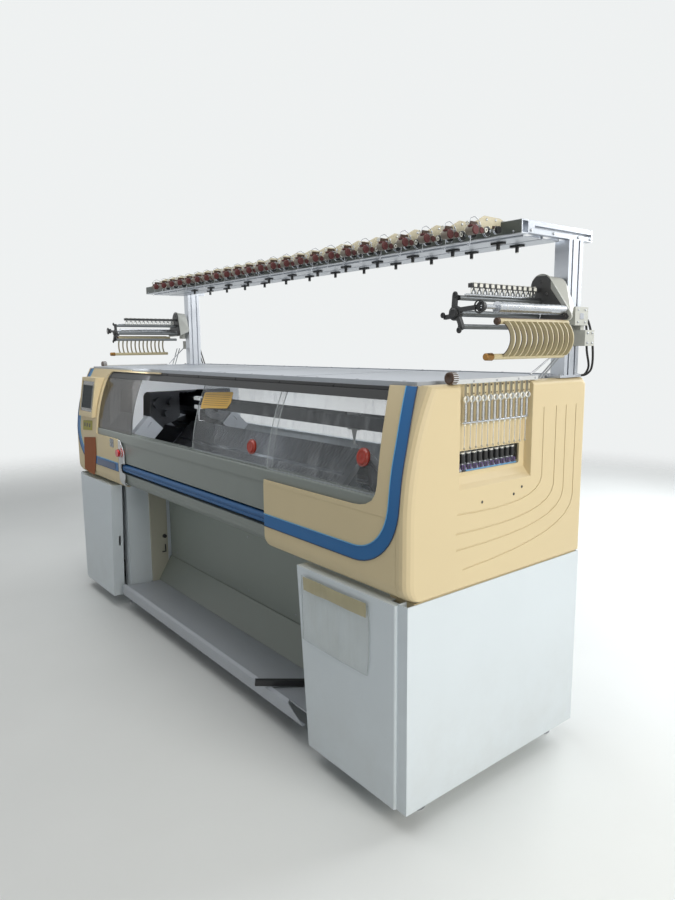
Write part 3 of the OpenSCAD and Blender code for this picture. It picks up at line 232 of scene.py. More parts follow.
# %% [markdown]
# ## Room, floor and lamps
# The machine stands in a plain studio: a pale floor and a white backdrop. The backdrop is the world itself. Light
# Path tells a ray that the camera, a mirror or clear glass sends from a ray that carries light, so the background
# is white while the light that falls on the machine keeps its own level. In the photograph the windows are on the
# right, so the right end is bright and the long front lies in the shade: the lamps are set the same way.

# %% World
world = bpy.data.worlds.new("studio")
bpy.context.scene.world = world
world.use_nodes = True
tree = world.node_tree
tree.nodes.clear()
rays, seen, seen_too, backdrop, ambient, either, to_world = (tree.nodes.new("ShaderNode" + kind) for kind in (
    "LightPath", "Math", "Math", "Background", "Background", "MixShader", "OutputWorld"))
seen.operation = seen_too.operation = "MAXIMUM"
for source, target in ((rays.outputs["Is Camera Ray"], seen.inputs[0]),
                       (rays.outputs["Is Glossy Ray"], seen.inputs[1]),
                       (seen.outputs[0], seen_too.inputs[0]),
                       (rays.outputs["Is Transmission Ray"], seen_too.inputs[1]),
                       (seen_too.outputs[0], either.inputs[0]),
                       (ambient.outputs[0], either.inputs[1]),
                       (backdrop.outputs[0], either.inputs[2]),
                       (either.outputs[0], to_world.inputs[0])):
    tree.links.new(source, target)
for light, colour, strength in ((backdrop, (0.86, 0.88, 0.88, 1), 1.0), (ambient, (0.95, 0.98, 1.0, 1), 0.17)):
    light.inputs["Color"].default_value = colour
    light.inputs["Strength"].default_value = strength
print("the world gives", round(ambient.inputs["Strength"].default_value, 2), "of plain light")


# %% Lamps
def lamp(name, place, aim, size, power, colour=(1, 1, 1)):
    light = bpy.data.lights.new(name, "AREA")
    light.shape, light.size, light.size_y = "RECTANGLE", size[0], size[1]
    light.energy, light.color = power, colour
    made = bpy.data.objects.new(name, light)
    made.location = place
    made.rotation_euler = (Vector(aim) - Vector(place)).to_track_quat("-Z", "Y").to_euler()
    show(made)
    return made


lamp("window_side", (5.6, -0.2, 2.3), (0.4, 0, 0.8), (3.2, 2.4), 158, (1.0, 0.97, 0.91))
lamp("window_behind", (1.0, 4.6, 2.6), (0, 0, 0.9), (4.5, 2.2), 200, (0.96, 0.98, 1.0))
lamp("ceiling", (-0.3, -0.6, 4.4), (-0.1, 0, 0.8), (5.0, 3.0), 90)
lamp("in_front", (-1.0, -5.2, 2.2), (0, 0, 0.8), (4.0, 2.4), 8, (0.98, 0.99, 1.0))
work_light = lamp("work_light", (-0.4, -0.26, 1.215), (-0.7, 0.0, 1.0), (0.8, 0.04), 2.0)
work_light.visible_camera = work_light.visible_glossy = False

# %% Floor, which fades out before its edge
HALF, FADE_START, FADE_LENGTH = 14, 3.6, 3.4
floor_mesh = bpy.data.meshes.new("floor")
floor_mesh.from_pydata([(-HALF, -HALF, 0), (HALF, -HALF, 0), (HALF, HALF, 0), (-HALF, HALF, 0)], [], [(0, 1, 2, 3)])
floor = bpy.data.objects.new("floor", floor_mesh)
show(floor)
screed = Finish("pale_floor", Roughness=0.55)
worn = screed.noise(1.7, 5)
reach = (screed.axis("X").of("POWER", 2.0) + screed.axis("Y").of("POWER", 2.0)).of("POWER", 0.5)
kept = (1.0 - (reach - FADE_START) / FADE_LENGTH).of("MAXIMUM", 0.0).of("MINIMUM", 1.0)
screed.set(Base_Color=screed.mix(worn, (0.72, 0.74, 0.73), (0.79, 0.81, 0.8)),
           Alpha=kept * kept * (3.0 - 2.0 * kept))
floor.data.materials.append(screed.material)
print("floor", [round(v, 1) for v in floor.dimensions])

# %% [markdown]
# ## Paints and plastics
# Most of the machine is sheet steel with a baked paint, or moulded plastic. Up close neither is one flat colour:
# paint has a faint orange peel, a slow drift of tone, dust low down and lighter edges: wear and a painted highlight.
# The peel is fine noise into a Bump node, the drift is broad noise between two near colours, and a Bevel node finds
# the edges by comparing a rounded normal with the true one, and softens them too.

# %% Painted and moulded surfaces
def rounded_edges(finish, radius):
    """the softened normal, and a mask that is 1 along the edges"""
    soft = finish.node("ShaderNodeBevel", {"samples": 4}, {"Radius": radius})
    flat = finish.node("ShaderNodeNewGeometry", out="True Normal")
    alike = finish.node("ShaderNodeVectorMath", {"operation": "DOT_PRODUCT"}, {0: soft, 1: flat}, out="Value")
    return soft, (1.0 - alike).of("MULTIPLY", 4.0).of("MINIMUM", 1.0)


def shade(colour, factor):
    return tuple(min(1.0, c * factor) for c in colour)


def painted(name, colour, rough=0.42, peel=0.00006, peel_scale=700, drift=0.06, edge=0.0012, wear_and_highlight=1.12,
            dust=0.0, coat=0.0):
    """dust lies on the lowest half metre; the edges are lighter by the given factor, partly wear and partly a
    painted highlight
    """
    finish, colour = Finish(name, Coat_Roughness=0.15), srgb(*colour)
    broad = finish.noise(2.3, 4)
    fine = finish.noise(peel_scale, 2)
    soft, edge_wear_and_highlight = rounded_edges(finish, edge)
    tone = finish.mix(broad, shade(colour, 1 - drift), shade(colour, 1 + drift * 0.6))
    if dust:
        low = (1.0 - finish.axis("Z") / 0.5).of("MAXIMUM", 0.0) * finish.noise(9, 5, rough=0.65)
        tone = finish.mix((low * dust).of("MINIMUM", 1.0), tone, srgb(150, 142, 126))
    # lighter edges: partly wear, partly a painted highlight
    tone = finish.mix(edge_wear_and_highlight * 0.6, tone, shade(colour, wear_and_highlight))
    finish.set(Base_Color=tone, Roughness=rough + (broad - 0.5) * 0.12 + (fine - 0.5) * 0.06, Coat_Weight=coat)
    finish.bump(fine, peel, soft)
    return finish


cream_cover = painted("cream_cover", (214, 197, 158), rough=0.5, peel=0.00008, peel_scale=420, drift=0.05,
                      edge=0.003)
white_sheet = painted("white_sheet", (214, 223, 229), rough=0.36, dust=0.35, wear_and_highlight=1.06)
gray_sheet = painted("gray_sheet", (130, 137, 133), rough=0.4, wear_and_highlight=1.3, drift=0.07)
pale_gray_sheet = painted("pale_gray_sheet", (176, 182, 190), rough=0.4, wear_and_highlight=1.15, drift=0.06, dust=0.25)
blue_plastic = painted("blue_plastic", (2, 98, 160), rough=0.42, wear_and_highlight=1.3, drift=0.08)
bar_blue = painted("bar_blue", (2, 84, 140), rough=0.46, wear_and_highlight=1.3, drift=0.1)
pale_plastic = painted("pale_plastic", (205, 208, 210), rough=0.4, wear_and_highlight=1.08)
red_plastic = painted("red_plastic", (190, 32, 38), rough=0.3, wear_and_highlight=1.4, drift=0.1, coat=0.3)
orange_knob = painted("orange_knob", (160, 40, 10), rough=0.3, wear_and_highlight=1.35, drift=0.12, coat=0.35)
black_plastic = painted("black_plastic", (30, 31, 33), rough=0.45, wear_and_highlight=2.2, drift=0.15, peel_scale=1200)
cream_plastic = painted("cream_plastic", (218, 205, 170), rough=0.42, wear_and_highlight=1.1)
white_paint = painted("white_paint", (222, 226, 230), rough=0.4, wear_and_highlight=1.06)
hatch_beige = painted("hatch_beige", (182, 180, 164), rough=0.5, wear_and_highlight=1.15, drift=0.08)
well_gray = painted("well_gray", (142, 150, 144), rough=0.45, wear_and_highlight=1.15, drift=0.08, dust=0.3)
unit_gray = painted("unit_gray", (128, 118, 106), rough=0.4, wear_and_highlight=1.25, drift=0.15)
plate_cream = painted("plate_cream", (206, 198, 172), rough=0.42, wear_and_highlight=1.1, drift=0.1)
housing_gray = painted("housing_gray", (186, 188, 182), rough=0.42, wear_and_highlight=1.12, drift=0.06)
comb_cream = painted("comb_cream", (196, 184, 148), rough=0.42, wear_and_highlight=1.15, drift=0.12)
print("paints", len(bpy.data.materials))

# %% [markdown]
# ## Metals
# Bare steel shows how it was worked: drawn rods and ground rails have fine lines along their length, castings a
# cloudy surface. Lines are noise that is stretched far along one axis. The metals here keep some roughness, since
# shop machines are wiped with oily rags and never shine like mirrors.

# %% Worked metal
FINE_BUMP, FINE_EDGE = 0.00004, 0.0008


def metal(name, colour, rough=0.3, along=(1, 1, 1), lines=0.1, cloud=0.12, scale=260):
    """along stretches the worked lines: a small number makes them long on that axis"""
    finish, colour = Finish(name, Metallic=1.0), srgb(*colour)
    worked = finish.noise(scale, 3, vector=finish.stretched(*along))
    broad = finish.noise(11, 4)
    soft, edge_wear_and_highlight = rounded_edges(finish, FINE_EDGE)
    tone = finish.mix(broad, shade(colour, 1 - cloud), shade(colour, 1 + cloud * 0.5))
    # lighter edges: partly wear, partly a painted highlight
    tone = finish.mix(edge_wear_and_highlight * 0.5, tone, shade(colour, 1.25))
    finish.set(Base_Color=tone, Roughness=rough + (worked - 0.5) * lines + (broad - 0.5) * 0.15)
    finish.bump(worked, FINE_BUMP, soft)
    return finish


bright_steel = metal("bright_steel", (205, 208, 212), rough=0.2, along=(0.06, 1, 1))
bright_rod = metal("bright_rod", (200, 203, 208), rough=0.22, along=(1, 0.06, 1))
steel = metal("steel", (160, 163, 168), rough=0.34, along=(0.1, 1, 1))
frame_steel = metal("frame_steel", (112, 118, 122), rough=0.5, lines=0.2, scale=60)
brushed_alloy = metal("brushed_alloy", (190, 194, 200), rough=0.36, along=(1, 0.05, 1), lines=0.25)
cam_metal = metal("cam_metal", (104, 106, 110), rough=0.36, cloud=0.3)
black_metal = metal("black_metal", (46, 47, 50), rough=0.42, cloud=0.25)
spider_metal = Finish("spider_metal")
rods = (spider_metal.axis("Y") > -0.1665) * (spider_metal.axis("Z") < 1.51)
cloudy = spider_metal.noise(14, 4)
soft, _ = rounded_edges(spider_metal, FINE_EDGE)
tone = spider_metal.mix(rods, srgb(34, 35, 37), srgb(128, 132, 134))
tone = spider_metal.mix(cloudy * 0.35, tone, srgb(70, 72, 74))
spider_metal.set(Base_Color=tone, Roughness=0.4 + (cloudy - 0.5) * 0.2, Metallic=rods * 0.85)
spider_metal.bump(cloudy, FINE_BUMP, soft)
print("metals made")

# %% [markdown]
# ## Clear and smoked acrylic
# The sliding windows are bent acrylic sheet. A refracting glass shader would be right in physics, but it stops the
# lamps from lighting what stands behind it. So the sheet is a thin gray haze that lets most of the light through,
# and a Layer Weight makes it closer to a mirror where it is seen at a flat angle, as real sheet is.

# %% Acrylic
def acrylic(name, colour, haze, rough=0.06, flat=0.75, smears=0.08):
    finish = Finish(name, Specular_IOR_Level=0.8)
    grazing = finish.node("ShaderNodeLayerWeight", sockets={"Blend": 0.35}, out="Facing")
    wiped = finish.noise(14, 4, vector=finish.stretched(1, 1, 0.35))
    streaks = (finish.noise(46, 3, vector=finish.stretched(1, 1, 0.05)) - 0.52).of("MAXIMUM", 0.0)
    veil = haze + grazing.of("POWER", 3.0) * flat + (wiped - 0.5) * smears + streaks * (0.6 * wiped)
    finish.set(Base_Color=srgb(*colour), Roughness=rough + wiped * 0.08,
               Alpha=veil.of("MAXIMUM", 0.03).of("MINIMUM", 1.0))
    return finish


clear_acrylic = acrylic("clear_acrylic", (226, 232, 236), 0.06, flat=0.4, smears=0.06)
smoked_acrylic = acrylic("smoked_acrylic", (46, 44, 42), 0.5, flat=0.5, smears=0.18)
rear_acrylic = acrylic("rear_acrylic", (190, 204, 216), 0.2, rough=0.12, flat=0.4)
dark_glass = painted("dark_glass", (32, 36, 40), rough=0.12, wear_and_highlight=1.3, peel=0.00001, coat=0.6)
black_rubber = painted("black_rubber", (26, 26, 27), rough=0.7, wear_and_highlight=1.8, drift=0.2)
print("materials so far", len(bpy.data.materials))

# %% [markdown]
# ## Helpers for shapes
# Each small piece is gathered in one Shape: blocks, rods, turned parts, hoops, bent tubes and cut plates are added
# to the same mesh and become one object that rides on a body of the machine. All sizes are in metres. Most of these
# forms are rings of corners that are joined by faces, so one function makes the rings and one method skins them.

# %% A shape that gathers solids
RIGHT, BACK, UP, FRONT, DOWN = (1, 0, 0), (0, 1, 0), (0, 0, 1), (0, -1, 0), (0, 0, -1)
BAND, CHAMFER = 0.012, 0.0006


def circle(middle, side, other, radius, count):
    return [middle + radius * (math.cos(a) * side + math.sin(a) * other)
            for a in (2 * math.pi * k / count for k in range(count))]


def crossed(along):
    """an axis of length one, with two directions square to it"""
    axis = Vector(along).normalized()
    side = axis.orthogonal().normalized()
    return axis, side, axis.cross(side)


class Shape:
    def __init__(self):
        self.mesh = bmesh.new()

    def block(self, low, high, bevel):
        made = bmesh.ops.create_cube(self.mesh, size=1)["verts"]
        for corner in made:
            for i in range(3):
                corner.co[i] = low[i] if corner.co[i] < 0 else high[i]
        if bevel:
            edges = list({edge for corner in made for edge in corner.link_edges})
            bmesh.ops.bevel(self.mesh, geom=edges, offset=bevel, segments=2, affect="EDGES", clamp_overlap=True)
        return self

    def ring(self, *where):
        return [self.mesh.verts.new(corner) for corner in circle(*where)]

    def skin(self, rings, closed=False):
        """joins the rings with faces, and caps both ends unless the last ring meets the first"""
        sides = len(rings[0])
        for near, far in zip(rings, rings[1:] + (rings[:1] if closed else [])):
            for k in range(sides):
                n = (k + 1) % sides
                self.mesh.faces.new((near[k], near[n], far[n], far[k]))
        if not closed:
            self.mesh.faces.new(rings[0][::-1])
            self.mesh.faces.new(rings[-1])
        return self

    def turned(self, start, along, profile, sides):
        """a part from a lathe: profile is a list of (distance along, radius)"""
        axis, side, other = crossed(along)
        return self.skin([self.ring(Vector(start) + axis * distance, side, other, radius, sides)
                          for distance, radius in profile])

    def screw(self, at, along, radius, top, rim=0.0012, height=0.0018, sides=12):
        """a screw head: a straight rim that narrows to the radius top"""
        return self.turned(at, along, [(0, radius), (rim, radius), (height, top)], sides)

    def rod(self, start, end, radius, sides):
        length = (Vector(end) - Vector(start)).length
        cut = min(CHAMFER, radius / 3, length / 3)
        return self.turned(start, Vector(end) - Vector(start),
                           [(0, radius - cut), (cut, radius), (length - cut, radius), (length, radius - cut)], sides)

    def tube(self, points, radius, sides, closed=False):
        points = [Vector(p) for p in points]
        count = len(points)
        rings, side = [], None
        for i, at in enumerate(points):
            ahead = points[(i + 1) % count] if closed or i + 1 < count else at
            back = points[i - 1] if closed or i else at
            axis = (ahead - back).normalized()
            side = axis.orthogonal() if side is None else side - axis * side.dot(axis)
            side.normalize()
            rings.append(self.ring(at, side, axis.cross(side), radius, sides))
        return self.skin(rings, closed)

    def hoop(self, middle, along, radius, wire, sides):
        _, side, other = crossed(along)
        return self.tube(circle(Vector(middle), side, other, radius, sides), wire, 8, closed=True)

    def coil(self, start, end, radius, wire, turns):
        start, end = Vector(start), Vector(end)
        _, side, other = crossed(end - start)
        steps = int(turns * 9)
        return self.tube([start.lerp(end, k / steps) + radius * (math.cos(a) * side + math.sin(a) * other)
                          for k, a in ((k, 2 * math.pi * turns * k / steps) for k in range(steps + 1))], wire, 5)

    def plate(self, outline, across, low, high, bevel=0.0):
        """an outline cut from sheet; across is the axis letter that the thickness runs along"""
        def spot(p, t):
            return (t, *p) if across == "X" else (p[0], t, p[1])

        near = [self.mesh.verts.new(spot(p, low)) for p in outline]
        far = [self.mesh.verts.new(spot(p, high)) for p in outline]
        faces = [self.mesh.faces.new(near), self.mesh.faces.new(far[::-1])]
        for k in range(len(near)):
            n = (k + 1) % len(near)
            faces.append(self.mesh.faces.new((near[n], near[k], far[k], far[n])))
        if bevel:
            rim = [e for f in faces[:2] for e in f.edges]
            bmesh.ops.bevel(self.mesh, geom=rim, offset=bevel, segments=2, affect="EDGES", clamp_overlap=True)
        return self

    def on_front(self, outline, inset, thick):
        """an X-Z outline that is bent to the curved front of the mouldings"""
        flat = bmesh.new()
        flat.faces.new([flat.verts.new((x, 0, z)) for x, z in outline])
        zs = [z for x, z in outline]
        level = 0.7
        while level < max(zs):
            if level > min(zs):
                bmesh.ops.bisect_plane(flat, geom=flat.verts[:] + flat.edges[:] + flat.faces[:],
                                       plane_co=(0, 0, level), plane_no=(0, 0, 1))
            level += BAND
        made = bmesh.ops.extrude_face_region(flat, geom=flat.faces[:])
        moved = {v for v in made["geom"] if isinstance(v, bmesh.types.BMVert)}
        for v in flat.verts:
            v.co.y = front_y(v.co.z, inset + (thick if v in moved else 0))
        bits = bpy.data.meshes.new("bits")
        flat.to_mesh(bits)
        flat.free()
        self.mesh.from_mesh(bits)
        bpy.data.meshes.remove(bits)
        return self

    def mirrored(self):
        whole = self.mesh.verts[:] + self.mesh.edges[:] + self.mesh.faces[:]
        bmesh.ops.mirror(self.mesh, geom=whole, axis="X", merge_dist=-1)
        return self

    def done(self, name, finish, body="machine", angle=35):
        bmesh.ops.recalc_face_normals(self.mesh, faces=self.mesh.faces[:])
        data = bpy.data.meshes.new(name)
        self.mesh.to_mesh(data)
        self.mesh.free()
        data.shade_smooth()
        data.set_sharp_from_angle(angle=math.radians(angle))
        data.materials.append(finish.material)
        made = bpy.data.objects.new(name, data)
        show(made)
        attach(made, body)
        return made


FLAT_Y, BELLY_Z, BELLY_Y, BELLY_RADIUS = -0.41, 0.88, 0.4, 0.81


def front_y(z, inset=0.0):
    """where the front of the mouldings is at height z: upright below the belly, an arc above it"""
    if z < BELLY_Z:
        return FLAT_Y + inset
    return BELLY_Y - math.sqrt((BELLY_RADIUS - inset) ** 2 - (z - BELLY_Z) ** 2)


def arc(middle, radius, start, end, steps=12):
    turns = [math.radians(start + (end - start) * k / steps) for k in range(steps + 1)]
    return [(middle[0] + radius * math.cos(a), middle[1] + radius * math.sin(a)) for a in turns]


def rounded(x0, x1, z0, z1, radius, steps=4):
    """a rectangle with round corners, from its top right corner on"""
    west, east, low, high = x0 + radius, x1 - radius, z0 + radius, z1 - radius
    found = []
    for k, middle in enumerate(((east, high), (west, high), (west, low), (east, low))):
        found += arc(middle, radius, 90 * k, 90 * k + 90, steps)
    return found


def rectangle(x0, x1, z0, z1):
    return [(x0, z0), (x1, z0), (x1, z1), (x0, z1)]


print("the front leans back", round(front_y(1.25) + 0.41, 3), "m at the top")

# %% [markdown]
# ## The front mouldings
# The blue stripe is a raised strip of glossy plastic that follows the curved front. It runs along the lower edge,
# turns up in a wide bend and leans in a little at the top. Beside it a beige band frames the window, with a round
# corner. Both are flat outlines first, cut into narrow bands and then bent to the curve of the front.

# %% Blue stripes with painted shadow and highlight edges, and the window band
STRIPE_LOW, STRIPE_HIGH, STRIPE_END, BEND = 0.757, 0.799, 1.296, 0.185
COVER_TOP = 1.2515


def lean(z):
    """how far the upright strip moves in towards the top"""
    return -0.0235 * max(0.0, (z - 1.08) / 0.17) ** 1.6


def stripe(start):
    """the right stripe: the outer edge from its start to the top, and the inner edge back"""
    wide = STRIPE_HIGH - STRIPE_LOW
    levels = [1.0 + 0.02 * k for k in range(13)] + [COVER_TOP]
    middle = (STRIPE_END - BEND, STRIPE_LOW + BEND)
    outer = [(start, STRIPE_LOW)] + arc(middle, BEND, 270, 360) + [(STRIPE_END + lean(z), z) for z in levels]
    inner = [(STRIPE_END - wide + lean(z), z) for z in levels][::-1] + arc(middle, BEND - wide, 360, 270)
    return outer + inner + [(start, STRIPE_HIGH)]


# thin tubes along the stripe's edges: a painted shadow along the outer edge, a painted highlight along the inner
# edge
front_stripe, painted_shade_edge, painted_highlight_edge = Shape(), Shape(), Shape()
for side, start in ((1, 0.6365), (-1, 0.7025)):
    line = [(side * x, z) for x, z in stripe(start)]
    front_stripe.on_front(line, -0.0011, 0.001)
    half = len(line) // 2
    for shape, edge in ((painted_shade_edge, line[:half]), (painted_highlight_edge, line[half:])):
        shape.tube([(x, front_y(z, -0.0014), z) for x, z in edge], 0.0016, 6)
front_stripe = front_stripe.done("blue_stripe", blue_plastic)
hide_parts("blue_trims")
painted_shade_edge.done("stripe_shadow_edge", painted("stripe_painted_shade", (12, 44, 78), rough=0.4))
painted_highlight_edge.done("stripe_painted_highlight_edge", painted("stripe_painted_highlight", (96, 168, 214), rough=0.35))

window_edge = [(1.163, COVER_TOP), (1.171, 1.224), (1.184, 1.17), (1.194, 1.1), (1.199, 1.05), (1.203, 0.985),
               (1.199, 0.96), (1.186, 0.94), (1.161, 0.926), (1.13, 0.919), (1.1, 0.917), (0.6365, 0.917)]
levels = (0.94, 1.0, 1.06, 1.12, 1.16, 1.2, COVER_TOP)
band = [(0.6365, 0.902), (1.2455, 0.902)] + [(1.2535 + lean(z), z) for z in levels]
Shape().on_front(band + window_edge, -0.0005, 0.005).done("window_band", cream_cover)
print("the stripes span", [round(v, 3) for v in front_stripe.dimensions])

# %% [markdown]
# ## The top edge and the table
# The cone table is thin. What looks like a thick edge in the solid is a dark channel and the shadow under the sheet,
# so a black strip, part channel and part painted shadow, covers its lower part, with the thin white lip left above.

# %% Dark channel with painted shadow, lip and screws of the table
# a black strip: the dark channel and a painted shadow under the table's edge
channel_and_shadow = Shape().block((-1.262, -0.3138, 1.2362), (1.262, -0.3122, 1.247), 0.0003)
for k in range(9):
    channel_and_shadow.screw((-1.2 + 0.3 * k, -0.3138, 1.2416), FRONT, 0.004, 0.003, sides=10)
channel_and_shadow = channel_and_shadow.done("table_channel_and_painted_shadow", black_plastic)
table_seams = Shape()
for x in (-0.62, 0.0, 0.62):
    table_seams.block((x - 0.0006, -0.288, 1.2588), (x + 0.0006, 0.374, 1.2596), 0)
for k in range(13):
    for y in (-0.3, 0.384):
        table_seams.screw((-1.2 + 0.2 * k, y, 1.2618), UP, 0.005, 0.0035, 0.001, 0.0016, 10)
table_seams.done("table_screws", steel)
print("the channel measures", [round(v, 3) for v in channel_and_shadow.dimensions])

# %% [markdown]
# ## The windows
# Each sliding window is a bent clear sheet with polished edges that catch the light, a strip of edging at the foot,
# a white strip along its bent top that is a painted highlight, and a round knob with a ring. The left one carries a
# plain yellow warning plate, whose words are left out.

# %% Pane edges, knobs and the yellow plate
edge_acrylic = painted("acrylic_edge", (168, 176, 178), rough=0.2, wear_and_highlight=1.1, coat=0.3)
knob_red = painted("knob_red", (158, 36, 10), rough=0.45, wear_and_highlight=1.3, drift=0.15)
PANE_LOW, PANE_HIGH, SHEET = 0.943, 1.227, 0.0007


def pane_dress(name, x0, x1, inset, body, knob):
    line = rounded(x0 + 0.001, x1 - 0.001, PANE_LOW + 0.001, PANE_HIGH - 0.001, 0.016)
    dense = []
    for (xa, za), (xb, zb) in zip(line, line[1:] + line[:1]):
        cuts = max(1, int(abs(zb - za) / 0.02))
        dense += [(xa + (xb - xa) * k / cuts, za + (zb - za) * k / cuts) for k in range(cuts)]
    rim = Shape().tube([(x, front_y(z, inset + 0.002), z) for x, z in dense], 0.0013, 6, closed=True)
    rim.done(f"{name}_polished_edge", edge_acrylic, body)
    strip = rectangle(x0 + 0.02, x1 - 0.02, PANE_LOW + 0.001, PANE_LOW + 0.009)
    Shape().on_front(strip, inset - 0.0009, SHEET).done(f"{name}_foot_strip", pale_gray_sheet, body)
    # a white strip along the bent top: a painted highlight where the curved sheet catches the light
    strip = rectangle(x0 + 0.018, x1 - 0.018, 1.211, 1.2255)
    Shape().on_front(strip, inset - 0.0009, SHEET).done(f"{name}_painted_highlight_top", white_paint, body)
    knob_x, knob_z = knob
    slope = math.asin((knob_z - BELLY_Z) / BELLY_RADIUS)
    out = Vector((0, -math.cos(slope), math.sin(slope)))
    at = Vector((knob_x, front_y(knob_z, inset), knob_z))
    cap = Shape().turned(at + out * 0.0101, out, [
        (0, 0.0205), (0.0006, 0.0205), (0.0016, 0.019), (0.0018, 0.0165), (0.001, 0.015), (0.0009, 0.006),
        (0.0018, 0.004), (0.0019, 0.001)], 28)
    cap.done(f"{name}_knob_cap", knob_red, body)
    print(name, "leans back", round(math.degrees(slope), 1), "degrees at its knob")


pane_dress("left_window", 0.027, 0.627, 0.038, "left_window_slide", (0.491, 1.008))
pane_dress("right_window", 0.623, 1.223, 0.018, "right_window_slide", (1.115, 1.048))

label_yellow = painted("label_yellow", (226, 176, 40), rough=0.35, wear_and_highlight=1.05, drift=0.05, coat=0.3)
plate = [(0.052, 1.118), (0.052, 1.176), (0.06, 1.18), (0.268, 1.19), (0.276, 1.186), (0.28, 1.15),
         (0.262, 1.128), (0.2, 1.124), (0.12, 1.12), (0.06, 1.114)]
Shape().on_front(plate, 0.0373, 0.0005).done("yellow_plate", label_yellow, "left_window_slide")
bars = Shape()
for k in range(6):
    rise = 0.008 * k
    bars.on_front([(0.066, 1.13 + rise), (0.066, 1.1325 + rise), (0.262, 1.1385 + rise), (0.262, 1.136 + rise)],
                  0.0371, 0.0002)
bars.done("plate_shade_lines", painted("label_ochre", (178, 132, 28), rough=0.4), "left_window_slide")

# %% [markdown]
# ## The left end of the front
# Here are the display in its frame, a plain yellow tag, the socket panel, a plain orange card, a dark blue strip
# beside the start bar and the emergency stop with its ring.

# %% Display, tag, card and strip
def on_display(z, off):
    """the y of a point in front of the display's leaning face"""
    return -0.421 + 0.033 * ((z - 1.0) / 0.208) - off


screen = Shape()
rows = [1.046 + 0.12 * k / 6 for k in range(7)]
for low, high in zip(rows, rows[1:]):
    screen.plate([(on_display(low, -0.0026), low), (on_display(high, -0.0026), high),
                  (on_display(high, -0.0029), high), (on_display(low, -0.0029), low)], "X", -1.199, -1.0495)
glass = painted("display_glass", (28, 36, 40), rough=0.78, peel=0.00001, wear_and_highlight=1.2)
screen.done("display_glass", glass)
frame_line = Shape()
west, east, low, high = -1.203, -1.0455, 1.042, 1.17
for (xa, za), (xb, zb) in (((west, low), (east, low)), ((west, high), (east, high)),
                           ((west, low), (west, high)), ((east, low), (east, high))):
    frame_line.rod((xa, on_display(za, -0.0012), za), (xb, on_display(zb, -0.0012), zb), 0.0022, 8)
frame_line.done("display_frame_line", painted("frame_gray", (150, 152, 148), rough=0.35))

tag = Shape().on_front([(-1.205, 0.921), (-1.205, 0.973), (-1.062, 0.982), (-1.06, 0.93)], -0.0008, 0.0006)
tag.done("yellow_tag", painted("tag_yellow", (150, 144, 34), rough=0.55))
tag_marks = Shape()
for x in (-1.188, -1.15, -1.112):
    tag_marks.on_front([(x, 0.942), (x, 0.962), (x + 0.022, 0.964), (x + 0.022, 0.944)], -0.001, 0.0003)
tag_marks.done("tag_plain_marks", painted("tag_dark", (70, 62, 40), rough=0.5))
card_orange = painted("card_orange", (140, 74, 26), rough=0.75, wear_and_highlight=1.1, drift=0.16)
card = Shape().plate([(-1.186, 0.882), (-1.006, 0.899), (-1.01, 0.8), (-1.032, 0.74), (-1.052, 0.69),
                      (-1.128, 0.694), (-1.209, 0.703), (-1.201, 0.78)], "Y", -0.4132, -0.4124, 0.0003)
card = card.done("orange_card", card_orange)
strip = Shape().plate([(-0.998, 0.753), (-0.998, 0.787), (-0.738, 0.792), (-0.738, 0.764)],
                      "Y", -0.4123, -0.4115, 0.0002)
strip.done("dark_blue_strip", painted("strip_blue", (24, 58, 100), rough=0.35, drift=0.1))
sockets = Shape()
for z in (0.877, 0.895):
    for x in (-0.797, -0.771):
        sockets.turned((x, -0.4092, z + 0.006), FRONT,
                       [(0, 0.008), (0.0018, 0.008), (0.0022, 0.0066), (0.0012, 0.006), (0.001, 0.002)], 18)
sockets.done("socket_rings", steel)
print("the card measures", [round(v, 3) for v in card.dimensions])

# %% Emergency stop: the rims of its collar and its cap
stop = Shape().hoop((-0.66, -0.4165, 0.856), BACK, 0.0212, 0.0022, 28)
stop.done("stop_collar", painted("stop_collar_gray", (190, 190, 186), rough=0.35))
cap = Shape().hoop((-0.66, -0.43, 0.856), BACK, 0.0172, 0.0013, 28)
cap = cap.done("stop_cap", red_plastic, "stop_button")
print("the cap's rim is", round(cap.dimensions.x, 4), "m wide")

# %% [markdown]
# ## Doors, pouch and the lower front
# A clear document pouch hangs on the right door from a strip of brown tape. It is thin film that stands a little
# off the sheet, with a few soft creases, so it is a fine grid that is pushed out by a smooth pattern.

# %% Pouch and tape
film = acrylic("pouch_film", (226, 230, 224), 0.2, rough=0.14, flat=0.6, smears=0.45)
tape_brown = acrylic("tape_brown", (196, 186, 146), 0.62, rough=0.3, flat=0.3, smears=0.5)
COLUMNS, ROWS, DOOR_Y = 34, 26, -0.4122
hung = Shape()
spots = []
for j in range(ROWS + 1):
    for i in range(COLUMNS + 1):
        u, v = i / COLUMNS, j / ROWS
        x = 0.853 + 0.322 * u + 0.006 * math.sin(4 * v)
        z = 0.64 - 0.215 * v + 0.003 * math.sin(9 * u) - 0.006 * (u - 0.5) * v
        y = DOOR_Y
        if 0 < u < 1 and 0 < v < 0.95:
            bulge = math.sin(math.pi * u) ** 0.5 * math.sin(math.pi * min(1, v * 1.05)) ** 0.7
            crease = 0.0012 * math.sin(17 * u + 5 * v) * math.sin(13 * v - 4 * u) + 0.001 * math.sin(31 * u * v + 3)
            y = DOOR_Y - 0.0045 * bulge - abs(crease)
        spots.append(hung.mesh.verts.new((x, y, z)))
for j in range(ROWS):
    for i in range(COLUMNS):
        a = j * (COLUMNS + 1) + i
        hung.mesh.faces.new((spots[a], spots[a + 1], spots[a + COLUMNS + 2], spots[a + COLUMNS + 1]))
hung.done("document_pouch", film, "right_door_leaf", 80)
welds = Shape()
